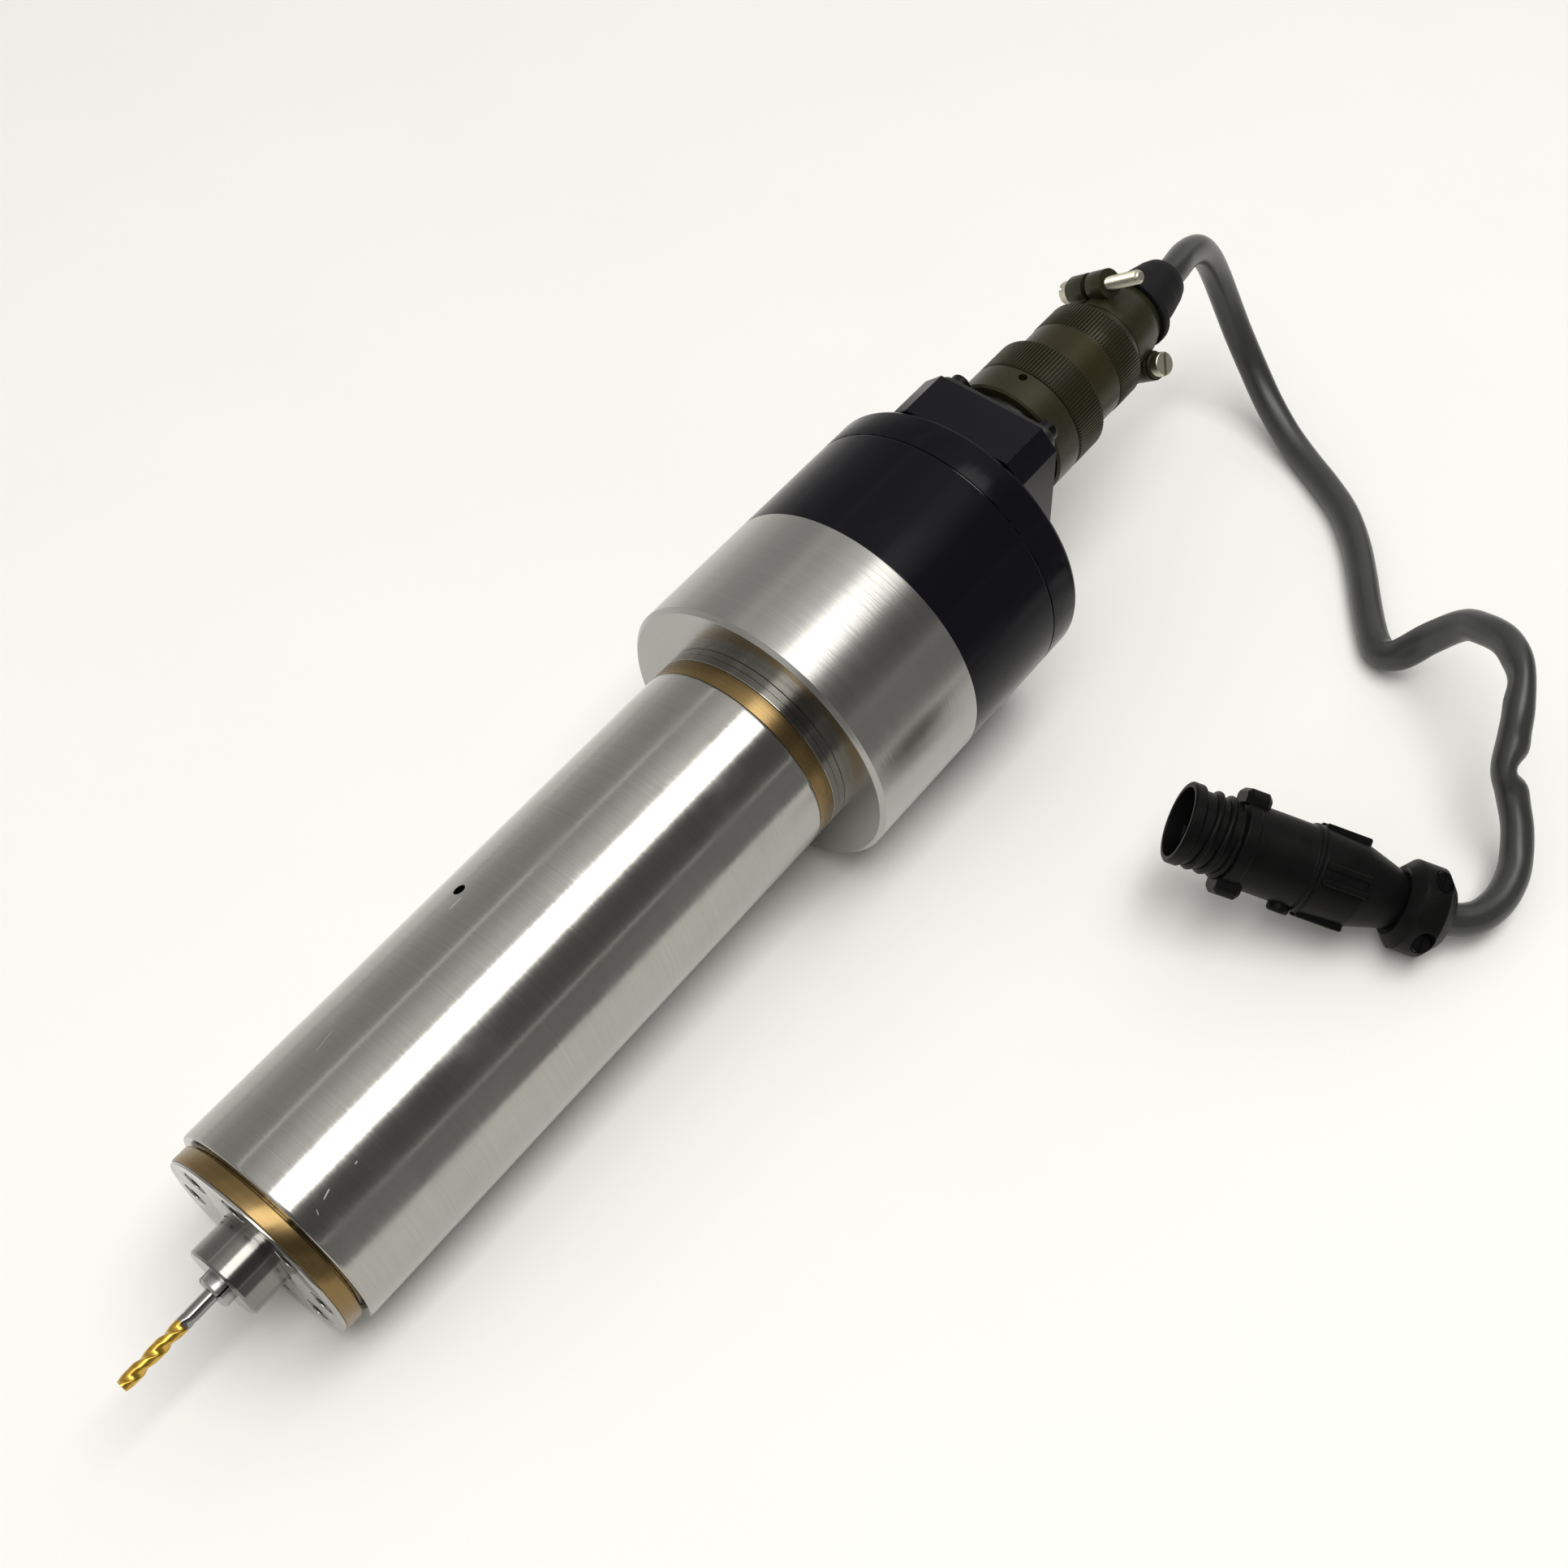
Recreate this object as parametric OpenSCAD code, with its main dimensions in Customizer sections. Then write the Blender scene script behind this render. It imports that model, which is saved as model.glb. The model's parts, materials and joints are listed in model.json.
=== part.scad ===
// Air bearing spindle with a collet, a drawbar release cylinder, a round connector and its lead.
// The spindle lies on a flat surface: its body's front edge and its motor housing's front edge touch it.
// Every turned piece is drawn along the spindle axis, from the body's front face (0) to the rear (+),
// as pairs of [place along the axis, radius], and lay_down() then sets it on the surface.

/* [Body sleeve] */
// Diameter of the ground body sleeve
body_d = 50.8; // [46:0.1:60]
// Length of the body sleeve
body_len = 139.8; // [125:0.1:170]
// Bore of the body sleeve, which the bearings fit
body_bore = 44; // [42:0.1:46]
// Edge break on the body sleeve
body_edge = 0.3; // [0.1:0.1:0.8]
// Diameter of the air feed hole in the body
air_hole_d = 2.8; // [1.5:0.1:4]
// Place of the air feed hole along the body
air_hole_s = 70.6; // [60:0.1:75]
// Turn of the air feed hole from straight up
air_hole_turn = -31; // [-60:1:60]

/* [Front end] */
// Diameter of the brass front ring
ring_d = 47.4; // [45:0.1:50]
// Thickness of the brass front ring
ring_len = 3.9; // [3:0.1:6]
// Thickness of the steel face plate
face_t = 0.6; // [0.4:0.1:1.5]
// Gap that shows between the front ring and the body
groove_len = 0.7; // [0.3:0.1:2]
// Depth that the front ring's spigot goes into the body
spigot_len = 3.2; // [2.5:0.1:5]
// Circle of the front screws
front_pcd = 36; // [34:0.1:38]
// Number of front screws
front_count = 8; // [4:1:10]

/* [Rotor] */
// Diameter of the shaft nose
nose_d = 17.5; // [14:0.1:20]
// Length of the shaft nose in front of the face plate
nose_out = 9.3; // [5:0.1:15]
// Diameter of the bearing journals
journal_d = 27; // [24:0.1:30]
// Air film between the rotor and its bearings
film = 0.02; // [0.015:0.005:0.05]
// Diameter of the thrust runner
runner_d = 40; // [36:0.1:42]
// Diameter of the shaft inside the motor
motor_shaft_d = 18; // [16:0.1:20]
// Diameter of the rotor core
core_d = 30; // [26:0.1:34]
// Gap between the rotor core and the stator
motor_gap = 0.4; // [0.3:0.05:0.8]
// Length of the shaft behind the rotor's rear end ring
shaft_over = 2.2; // [1:0.1:3]

/* [Collet and cutter] */
// Diameter of the collet's front end
collet_d = 7.7; // [7:0.1:9]
// Length of the collet in front of the shaft
collet_out = 2.6; // [1:0.1:5]
// Diameter of the collet's straight part
collet_tail_d = 6; // [5:0.1:6.4]
// Diameter of the cutter's shank
cutter_d = 3.175; // [2.5:0.005:4]
// Length of the whole cutter
cutter_len = 38.1; // [34:0.1:42]
// Length of the cutter in front of the collet
stick_out = 22.8; // [18:0.1:28]
// Length of the cutter's flutes
flute_len = 18; // [12:0.1:18]
// Length of one turn of a flute
flute_pitch = 14; // [10:0.5:20]
// Travel of the release piston
piston_stroke = 2; // [1:0.1:3]

/* [Bearings] */
// Length of the front journal bearing
front_bearing_len = 48; // [40:0.1:54]
// Length of the rear journal bearing
rear_bearing_len = 55.8; // [45:0.1:60]
// Thickness of the O-rings
oring_t = 1.8; // [1.2:0.1:2.4]
// Number of air jets in each row
jet_count = 8; // [6:1:12]
// Diameter of an air jet
jet_d = 1; // [0.6:0.1:1.4]

/* [Thrust section] */
// Thickness of the brass spacer ring
spacer_len = 4.5; // [4:0.1:6]
// Thickness of the steel thrust plate
plate_len = 3.8; // [3:0.1:6]
// Number of long screws through the thrust section
tie_count = 6; // [4:1:8]

/* [Motor housing] */
// Diameter of the housings
housing_d = 72.36; // [68:0.01:80]
// Length of the bright motor housing
housing_len = 34.7; // [30:0.1:45]
// Width of the chamfer on the motor housing's front edge
housing_edge = 1; // [0.5:0.1:2]
// Thickness of the motor housing's front wall
front_wall = 4; // [3:0.1:6]
// Bore of the motor housing, which the stator fits
motor_bore = 62; // [58:0.1:64]
// Length of the stator's laminations
stack_len = 23; // [20:0.1:24]
// Number of slots in the stator
slot_count = 12; // [6:3:12]

/* [Rear housing] */
// Length of the black rear housing
rear_len = 30.2; // [29:0.1:40]
// Thickness of the rear cover
cover_len = 9.7; // [8:0.1:14]
// Bore of the release cylinder
cylinder_d = 44; // [38:0.1:46]
// Thickness of the release piston
piston_len = 7; // [6:0.1:8]
// Diameter of the release port
port_d = 4.2; // [3:0.1:6]

/* [Terminal block] */
// Width and height of the terminal block
block_w = 37.2; // [35:0.1:40]
// Length of the terminal block
block_len = 13.8; // [12:0.1:25]
// Chamfer on the terminal block's corners
block_edge = 4.5; // [3:0.1:6]
// Height of the connector's axis over the spindle's
conn_up = 15; // [14:0.1:17]

/* [Connector] */
// Width of the receptacle's square flange
flange_w = 32.5; // [30:0.1:34]
// Diameter of the coupling ring
coupling_d = 31.9; // [30:0.1:34]
// Length of the coupling ring's plain band
band_len = 9.1; // [6:0.1:12]
// Length of the coupling ring's knurled band
knurl_len = 10.4; // [6:0.1:14]
// Diameter of the plug barrel
barrel_d = 27.1; // [26:0.1:29]
// Length of the plug barrel that shows
barrel_len = 9.6; // [6:0.1:14]
// Length of the knurled end bell
bell_len = 9.3; // [6:0.1:14]
// Width of the cable clamp's saddles along the cable
saddle_len = 12.5; // [9:0.1:16]
// Turn of the cable clamp about the connector's axis
clamp_turn = 51; // [0:1:180]
// Length of the rubber boot behind the clamp
boot_len = 15.9; // [12:0.1:24]

/* [Lead and free plug] */
// Diameter of the cable
cord_d = 7.8; // [7:0.1:8]
// Diameter of the free plug's barrel
free_d = 19.8; // [19:0.1:22]
// Width of the free plug's square flange, between its flat sides
free_flange_w = 20.6; // [20:0.1:24]
// Length of the free plug
free_len = 64.5; // [62:0.1:72]
// Bore of the free plug's mouth
mouth_d = 16.4; // [14:0.1:16.6]
// Diameter of the free plug's cable clamp
free_clamp_d = 21.4; // [18:0.1:24]
// Slope of the free plug, whose mouth is held up by its lead
free_pitch = 16.5; // [5:0.5:25]

/* [Hidden] */
$fn = 96;

// Small values that many pieces share
eps = 0.01;
run_gap = 0.2;
seat_gap = 0.05;

// Places along the spindle axis, from front to rear
ring_s = -groove_len - ring_len;
face_s = ring_s - face_t;
nose_s = face_s - nose_out;
collet_s = nose_s - collet_out;
tip_s = collet_s - stick_out;
shoulder_s = spigot_len - 1.6;
spacer_s = body_len;
plate_s = spacer_s + spacer_len;
housing_s = plate_s + plate_len;
rear_s = housing_s + housing_len;
cover_s = rear_s + rear_len;
block_s = cover_s + cover_len;
flange_s = block_s + block_len;
coupling_s = flange_s + 6.3;
knurl_s = coupling_s + band_len;
coupling_end = knurl_s + knurl_len;
barrel_s = coupling_end + run_gap;
bell_s = barrel_s + barrel_len;
bell_end = bell_s + bell_len;
saddle_s = bell_end + 2.8;
disc_s = saddle_s + saddle_len + 0.2;
boot_end = disc_s + boot_len;

// How the spindle lies: both front edges touch the surface, so its nose points down a little
contact_s = housing_s + housing_edge;
tilt = atan2((housing_d - body_d) / 2, contact_s - body_edge);
axis_h = body_d / 2 * cos(tilt) - body_edge * sin(tilt);
boot_tip_d = 10.6;
x_low = tip_s * cos(tilt) - cutter_d / 2 * sin(tilt);
x_high = boot_end * cos(tilt) - (conn_up - boot_tip_d / 2) * sin(tilt);
mid_x = (x_low + x_high) / 2;

// Bearings
bearing_bore = journal_d + 2 * film;
channel_d = body_bore - 1.6;
land_len = 13;
jet_inset = 4;
rear_bearing_s = spacer_s - rear_bearing_len;
front_bearing_end = spigot_len + front_bearing_len;
runner_s = spacer_s + film;
runner_end = plate_s - film;
hub_d = 20;

// The cutter's edges are ground a little under its shank
cutting_d = cutter_d - 0.06;

// Screws
m3_d = 3;
m3_head_d = 5.5;
m4_d = 4;
m4_head_d = 7;
tie_pcd = (body_bore + body_d) / 2;
tie_d = 2.5;
tie_head_d = 4.5;

// Motor
turn_len = 4.4;
stack_s = housing_s + front_wall + tie_d + 0.3 + turn_len;
stack_end = stack_s + stack_len;
end_ring_len = 2.5;
slot_in = core_d / 2 + motor_gap;
slot_out = slot_in + 9.2;
slot_w = 4.2;
liner = 0.3;
shaft_end = stack_end + end_ring_len + shaft_over;

// Drawbar and release cylinder
tail_s = nose_s + 21.4;
spring_s = 60;
disc_count = 24;
disc_h = 0.75;
disc_t = 0.5;
spring_end = spring_s + disc_count * disc_h;
drawbar_d = 4.8;
draw_bore = 10.1;
drawbar_end = shaft_end + 1;
push_gap = 0.5;
bulkhead_s = shaft_end + 3.2;
bulkhead_end = bulkhead_s + 4;
push_s = drawbar_end + push_gap;
piston_end = cover_s - 5.8;
piston_s = piston_end - piston_len;
nose_rod_d = 10;
port_up = -13;
port_out = 12;
wire_hole_d = 4.6;
pocket_d = 27.6;
wire_up = conn_up + (pocket_d - wire_hole_d) / 2 - 0.6;
cover_pcd = 60;
cover_count = 6;

// Connector
flange_t = 2.8;
flange_pitch = 24.6;
thread_d = 26.8;
thread_end = coupling_s + 9.2;
plug_nose_d = 22.8;
plug_nose_s = coupling_s + 2.2;
shell_bore = 20.4;
face_gap = 0.5;
contact_count = 9;
contact_pcd = 14;
contact_d = 2;
clamp_reach = 12;
clamp_screw_d = 3.5;
clamp_screw_len = 23.2;
grip_d = 14;
saddle_d = 22;

// Free plug, from its mouth to its cable end: it rests on its clamp's rear edge
free_x = 57.6;
free_y = -84.5;
free_turn = -63.5;
free_roll = 37;
flange_at = 12.8;
free_flange_t = 2.8;
free_shell_len = 31;
insert_at = 8.5;
neck_at = 51;
neck_r = 6.8;
free_clamp_at = 53;
neck_in = 3;
clamp_edge = 3;
free_contact_count = 8;
free_screw_d = 2.5;
free_z = (free_len - clamp_edge) * sin(free_pitch) + free_clamp_d / 2 * cos(free_pitch);

// Route of the lead, from inside the boot to inside the free plug's clamp, in [x, y, z]
cord_route = [
    [168, 0, 63], [178, 0, 63], [188, 2, 61], [197, 3, 57], [204, 3, 50], [209, 2, 42], [212, -1, 33],
    [213, -6, 24], [212, -13, 16], [209, -21, 10], [205, -30, 6], [201, -39, 4], [196, -48, 4],
    [190, -57, 4], [182, -65, 4], [173, -72, 4], [164, -78, 4], [157, -84, 5], [152, -90, 9],
    [150, -97, 15], [151, -103, 23], [150, -108, 29], [147, -115, 33], [141, -122, 34],
    [133, -128, 31], [126, -132, 25], [120, -136, 20], [114, -143, 14], [106, -147, 10],
    [98, -148, 8], [91, -146, 8], [86, -141, 9], [82, -133, 12]
];
rings_per_span = 2;

function ramp(t, a, b, c, d) =
    0.5 * (2 * b + (c - a) * t + (2 * a - 5 * b + 4 * c - d) * t * t + (3 * b - a - 3 * c + d) * t * t * t);
function clip(i, n) = max(0, min(n - 1, i));
function on_route(p, i, t) =
    ramp(t, p[clip(i - 1, len(p))], p[i], p[clip(i + 1, len(p))], p[clip(i + 2, len(p))]);
function cord_line(p, n) =
    concat([for (i = [0 : len(p) - 2]) for (j = [0 : n - 1]) on_route(p, i, j / n)], [p[len(p) - 1]]);
function unit(v) = v / norm(v);
function heading(q, i) = unit(q[min(i + 1, len(q) - 1)] - q[max(i - 1, 0)]);
function side(t) = unit(cross(t, abs(t[2]) < 0.9 ? [0, 0, 1] : [0, 1, 0]));
function carried(q, i) =
    i == 0 ? side(heading(q, 0))
    : let (s = carried(q, i - 1), t = heading(q, i)) unit(s - (s * t) * t);
function ring_points(q, i, r, k) =
    let (t = heading(q, i), a = carried(q, i), b = cross(t, a))
    [for (j = [0 : k - 1]) q[i] + r * (a * cos(360 * j / k) + b * sin(360 * j / k))];

// A tube of radius r and k sides swept along the points q
module swept(q, r, k) {
    n = len(q);
    points = [for (i = [0 : n - 1]) each ring_points(q, i, r, k)];
    walls = [for (i = [0 : n - 2]) for (j = [0 : k - 1])
        [i * k + j, i * k + (j + 1) % k, (i + 1) * k + (j + 1) % k, (i + 1) * k + j]];
    ends = [[for (j = [k - 1 : -1 : 0]) j], [for (j = [0 : k - 1]) (n - 1) * k + j]];
    polyhedron(points, concat(walls, ends), convexity = 10);
}

// Sets a piece drawn along the spindle axis on the surface
module lay_down() translate([-mid_x, 0, axis_h]) rotate([0, -tilt, 0]) children();

// The same, for a piece drawn about the connector's axis
module on_connector() lay_down() translate([0, 0, conn_up]) children();

// The same, for a piece of the cable clamp, which is turned about that axis
module on_clamp() on_connector() rotate([clamp_turn, 0, 0]) children();

// Sets a piece of the free plug, drawn from its mouth along +X, on the surface
module at_free_plug() translate([free_x, free_y, free_z]) rotate([0, 0, free_turn])
    rotate([0, free_pitch, 0]) rotate([free_roll, 0, 0]) children();

// A turned solid from [place, radius] pairs
module turned(pairs) rotate([0, 90, 0]) rotate_extrude() polygon([for (p = pairs) [p[1], p[0]]]);

// A round bar from a to b
module bar(a, b, d) rotate([0, 90, 0]) translate([0, 0, a]) cylinder(h = b - a, d = d);

// A tube from a to b
module tube(a, b, outer, inner) difference() {
    bar(a, b, outer);
    bar(a - 1, b + 1, inner);
}

// Copies spaced evenly on a circle, the first straight up
module around(count, d, start = 0)
    for (i = [0 : count - 1]) rotate([start + i * 360 / count, 0, 0]) translate([0, 0, d / 2]) children();

// A socket head screw: its head's seat is at 0 and its shank points along +X
module cap_screw(d, head_d, length) difference() {
    union() {
        bar(-d, 0, head_d);
        bar(-eps, length, d);
    }
    rotate([0, 90, 0]) translate([0, 0, -d - 1]) cylinder(h = 1 + d * 0.6, d = d * 0.95, $fn = 6);
}

// A slotted cheese head screw, laid out as the socket head one
module slotted_screw(d, head_d, head_h, length) difference() {
    union() {
        bar(-head_h, 0, head_d);
        bar(-eps, length, d);
    }
    translate([-head_h - 1, -head_d, -d * 0.14]) cube([1 + head_h * 0.45, 2 * head_d, d * 0.28]);
}

// An O-ring whose middle is at a, lying in a groove of the given floor diameter
module oring(a, floor_d, t) rotate([0, 90, 0]) translate([0, 0, a])
    rotate_extrude() translate([floor_d / 2 + t / 2, 0]) circle(d = t, $fn = 24);

// The straight knurl of a gripping band: a toothed outline pushed along the axis
module knurled(a, b, d, teeth, depth) rotate([0, 90, 0]) translate([0, 0, a]) linear_extrude(b - a)
    polygon([for (i = [0 : teeth - 1]) for (k = [0 : 2])
        let (r = d / 2 - (k == 2 ? depth : 0), w = 360 / teeth * (i + [0.0, 0.55, 0.78][k]))
        [r * cos(w), r * sin(w)]]);

// A square plate with rounded corners, from a to b
module plate(a, b, w, corner) rotate([0, 90, 0]) translate([0, 0, a]) linear_extrude(b - a)
    union() {
        square([w, w - 2 * corner], center = true);
        square([w - 2 * corner, w], center = true);
        for (x = [-1, 1], y = [-1, 1]) translate([x, y] * (w / 2 - corner)) circle(r = corner, $fn = 32);
    }

module body_sleeve() lay_down() color("silver") difference() {
    turned([[0, body_bore / 2], [0, body_d / 2 - body_edge], [body_edge, body_d / 2],
        [body_len - body_edge, body_d / 2], [body_len, body_d / 2 - body_edge], [body_len, body_bore / 2]]);
    rotate([air_hole_turn, 0, 0]) translate([air_hole_s, 0, 0]) cylinder(h = body_d, d = air_hole_d);
    tie_holes(body_len - 10, body_len + 1);
}

module tie_holes(a, b) around(tie_count, tie_pcd, 30) bar(a, b, tie_d + 2 * seat_gap);

module front_ring() lay_down() color("goldenrod") difference() {
    union() {
        bar(ring_s, -groove_len, ring_d);
        bar(ring_s, spigot_len, body_bore - 2 * seat_gap);
    }
    bar(ring_s - 1, spigot_len + 1, nose_d + 2 * run_gap);
    bar(shoulder_s - 0.6, spigot_len + 1, journal_d + 5 * run_gap);
    around(front_count, front_pcd) {
        bar(ring_s - 1, spigot_len + 1, m3_d + 2 * seat_gap);
        bar(ring_s - 1, face_s + m3_d + 0.1, m3_head_d + 2 * run_gap);
    }
}

module front_plate() lay_down() color("gainsboro") difference() {
    bar(face_s, ring_s, ring_d - 0.6);
    bar(face_s - 1, ring_s + 1, nose_d + 2 * run_gap);
    around(front_count, front_pcd) bar(face_s - 1, ring_s + 1, m3_head_d + 2 * run_gap);
}

module front_screws() lay_down() color("dimgray") around(front_count, front_pcd)
    translate([face_s + m3_d + 0.1, 0, 0]) cap_screw(m3_d, m3_head_d, spigot_len - face_s + 3);

// One journal bearing: land_end is its outer end, where it fits the body, and jets lets the air in
module journal_bearing(outer_end, inner_end) {
    way = inner_end > outer_end ? 1 : -1;
    land = outer_end + way * land_len;
    mid_land = outer_end + way * land_len / 2;
    difference() {
        union() {
            bar(min(outer_end, land), max(outer_end, land), body_bore);
            bar(min(outer_end, inner_end), max(outer_end, inner_end), channel_d);
        }
        bar(min(outer_end, inner_end) - 1, max(outer_end, inner_end) + 1, bearing_bore);
        difference() {
            bar(mid_land - oring_t * 0.65, mid_land + oring_t * 0.65, body_bore + 1);
            bar(mid_land - oring_t, mid_land + oring_t, body_bore - 2 * oring_t);
        }
        for (s = [land + way * jet_inset, inner_end - way * 2 * jet_inset])
            for (i = [0 : jet_count - 1]) rotate([i * 360 / jet_count, 0, 0]) translate([s, 0, 0])
                cylinder(h = body_bore, d = jet_d);
    }
}

module front_bearing() lay_down() color("peru") difference() {
    journal_bearing(spigot_len, front_bearing_end);
    around(front_count, front_pcd) bar(spigot_len - 1, spigot_len + 7, m3_d + 2 * seat_gap);
}

module rear_bearing() lay_down() color("peru") journal_bearing(spacer_s, rear_bearing_s);

module bearing_spacer() lay_down() color("lightgray")
    tube(front_bearing_end, rear_bearing_s, channel_d, journal_d + 2);

module bearing_orings() lay_down() color("black") {
    oring(spigot_len + land_len / 2, body_bore - 2 * oring_t, oring_t - eps);
    oring(spacer_s - land_len / 2, body_bore - 2 * oring_t, oring_t - eps);
}

module spacer_ring() lay_down() color("goldenrod") difference() {
    tube(spacer_s, plate_s, body_d, runner_d + 2);
    tie_holes(spacer_s - 1, plate_s + 1);
}

module thrust_plate() lay_down() color("darkgray") difference() {
    tube(plate_s, housing_s, body_d, hub_d + 2 * run_gap);
    tie_holes(plate_s - 1, housing_s + 1);
}

module thrust_screws() lay_down() color("dimgray") around(tie_count, tie_pcd, 30)
    translate([housing_s + front_wall, 0, 0]) mirror([1, 0, 0])
        cap_screw(tie_d, tie_head_d, front_wall + plate_len + spacer_len + 8);

module rotor_shaft() lay_down() color("silver") difference() {
    turned([[nose_s, 0], [nose_s, nose_d / 2 - 0.5], [nose_s + 0.5, nose_d / 2], [shoulder_s, nose_d / 2],
        [shoulder_s, journal_d / 2], [runner_s, journal_d / 2], [runner_s, runner_d / 2],
        [runner_end, runner_d / 2], [runner_end, hub_d / 2], [housing_s + 1, hub_d / 2],
        [housing_s + 1, motor_shaft_d / 2], [shaft_end, motor_shaft_d / 2], [shaft_end, 0]]);
    turned([[nose_s - 1, 0], [nose_s - 1, collet_d / 2 + film], [nose_s, collet_d / 2 + film],
        [nose_s + 5, collet_tail_d / 2 + film], [spring_s, collet_tail_d / 2 + film], [spring_s, 0]]);
    bar(spring_s - eps, shaft_end + 1, draw_bore);
}

module rotor_core() lay_down() color("slategray") tube(stack_s, stack_end, core_d, motor_shaft_d);

module rotor_end_rings() lay_down() color("gainsboro") {
    tube(stack_s - end_ring_len, stack_s, core_d - 1, motor_shaft_d + 2);
    tube(stack_end, stack_end + end_ring_len, core_d - 1, motor_shaft_d + 2);
}

module collet() lay_down() color("gray") difference() {
    turned([[collet_s, 0], [collet_s, collet_d / 2 - 0.5], [collet_s + 0.5, collet_d / 2],
        [nose_s, collet_d / 2], [nose_s + 5, collet_tail_d / 2], [tail_s, collet_tail_d / 2],
        [tail_s, 2], [tail_s + 7, 2], [tail_s + 7, 0]]);
    bar(collet_s - 1, tail_s - 1.4, cutter_d + 2 * eps);
    for (a = [45, 135]) rotate([a, 0, 0])
        translate([collet_s - 1, -collet_d, -0.25]) cube([17, 2 * collet_d, 0.5]);
}

// The cutter's section: a round web with two gullets, and a land behind each edge
module cutter_section() difference() {
    circle(d = cutting_d, $fn = 24);
    for (a = [0, 180]) rotate(a) translate([cutter_d * 0.36, cutter_d * 0.31])
        scale([1, 1.25]) circle(d = cutter_d * 0.56, $fn = 14);
}

module cutter() lay_down() color("gold") union() {
    rotate([0, 90, 0]) translate([0, 0, tip_s])
        linear_extrude(flute_len, twist = -360 * flute_len / flute_pitch, slices = 28, segments = 1) cutter_section();
    bar(tip_s + flute_len, tip_s + cutter_len, cutter_d);
}

module drawbar() lay_down() color("darkgray") difference() {
    turned([[tail_s + run_gap, 0], [tail_s + run_gap, collet_tail_d / 2 - 0.1],
        [tail_s + 13, collet_tail_d / 2 - 0.1], [tail_s + 13, drawbar_d / 2], [spring_end, drawbar_d / 2],
        [spring_end, draw_bore / 2 - run_gap], [spring_end + 4, draw_bore / 2 - run_gap],
        [spring_end + 4, drawbar_d / 2], [drawbar_end - 4, drawbar_d / 2],
        [drawbar_end - 4, draw_bore / 2 - run_gap], [drawbar_end, draw_bore / 2 - run_gap], [drawbar_end, 0]]);
    bar(tail_s - 1, tail_s + 7 + run_gap, 4 + 2 * eps);
}

// A stack of coned discs, each turned against the last
module disc_springs() lay_down() color("dimgray") for (i = [0 : disc_count - 1])
    let (a = spring_s + i * disc_h, rise = disc_h - disc_t, flip = i % 2,
        ri = drawbar_d / 2 + 0.1, ro = draw_bore / 2 - run_gap)
    turned([[a + (flip ? 0 : rise), ri], [a + (flip ? rise : 0), ro],
        [a + (flip ? rise : 0) + disc_t - eps, ro], [a + (flip ? 0 : rise) + disc_t - eps, ri]]);

module stator_core() lay_down() color("slategray") difference() {
    tube(stack_s, stack_end, motor_bore, 2 * slot_in);
    for (i = [0 : slot_count - 1]) rotate([i * 360 / slot_count, 0, 0]) {
        translate([stack_s - 1, -slot_w / 2, slot_in + 1.8]) cube([stack_len + 2, slot_w, slot_out - slot_in - 1.8]);
        translate([stack_s - 1, -0.9, slot_in - 1]) cube([stack_len + 2, 1.8, 4]);
    }
}

module stator_windings() lay_down() color("chocolate") union() {
    for (a = [stack_s - turn_len, stack_end]) rotate([0, 90, 0]) translate([0, 0, a]) rotate_extrude()
        translate([slot_in + 1.8, 0]) square([slot_out - slot_in - 1.8, turn_len]);
    for (i = [0 : slot_count - 1]) rotate([i * 360 / slot_count, 0, 0])
        translate([stack_s - eps, -slot_w / 2 + liner, slot_in + 1.8 + liner])
            cube([stack_len + 2 * eps, slot_w - 2 * liner, slot_out - slot_in - 1.8 - 2 * liner]);
}

module motor_housing() lay_down() color("gainsboro") difference() {
    turned([[housing_s, 12], [housing_s, housing_d / 2 - housing_edge],
        [contact_s, housing_d / 2], [rear_s, housing_d / 2], [rear_s, motor_bore / 2],
        [housing_s + front_wall, motor_bore / 2], [housing_s + front_wall, 12]]);
    tie_holes(housing_s - 1, housing_s + front_wall + 1);
}

module rear_housing() lay_down() color("#1c1c1f") difference() {
    bar(rear_s, cover_s, housing_d);
    bar(rear_s - 1, bulkhead_s, motor_bore);
    bar(bulkhead_s - 1, bulkhead_end + 1, nose_rod_d + run_gap);
    bar(bulkhead_end, cover_s + 1, cylinder_d);
    translate([0, 0, wire_up]) bar(bulkhead_s - 1, cover_s + 1, wire_hole_d);
    around(cover_count, cover_pcd, 90) bar(cover_s - 10, cover_s + 1, m4_d + 2 * seat_gap);
}

module rear_cover() lay_down() color("#1c1c1f") difference() {
    turned([[cover_s - 2, 0], [cover_s - 2, cylinder_d / 2 - seat_gap], [cover_s, cylinder_d / 2 - seat_gap],
        [cover_s, housing_d / 2 - 0.2], [cover_s + 0.2, housing_d / 2], [block_s - 1.2, housing_d / 2],
        [block_s - 0.4, housing_d / 2 - 0.4], [block_s, housing_d / 2 - 1.2], [block_s, 0]]);
    around(cover_count, cover_pcd, 90) {
        bar(cover_s - 1, block_s + 1, m4_d + 2 * seat_gap);
        bar(block_s - m4_d - 0.4, block_s + 1, m4_head_d + 2 * run_gap);
    }
    translate([0, 0, wire_up]) bar(cover_s - 3, block_s + 1, wire_hole_d);
    translate([0, port_out, port_up]) bar(cover_s - 3, block_s + 1, port_d);
    block_screw_places() bar(block_s - 6, block_s + 1, m3_d + 2 * seat_gap);
}

module cover_screws() lay_down() color("dimgray") around(cover_count, cover_pcd, 90)
    translate([block_s - m4_d - 0.4, 0, 0]) mirror([1, 0, 0]) cap_screw(m4_d, m4_head_d, 3 * m4_d);

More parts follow.
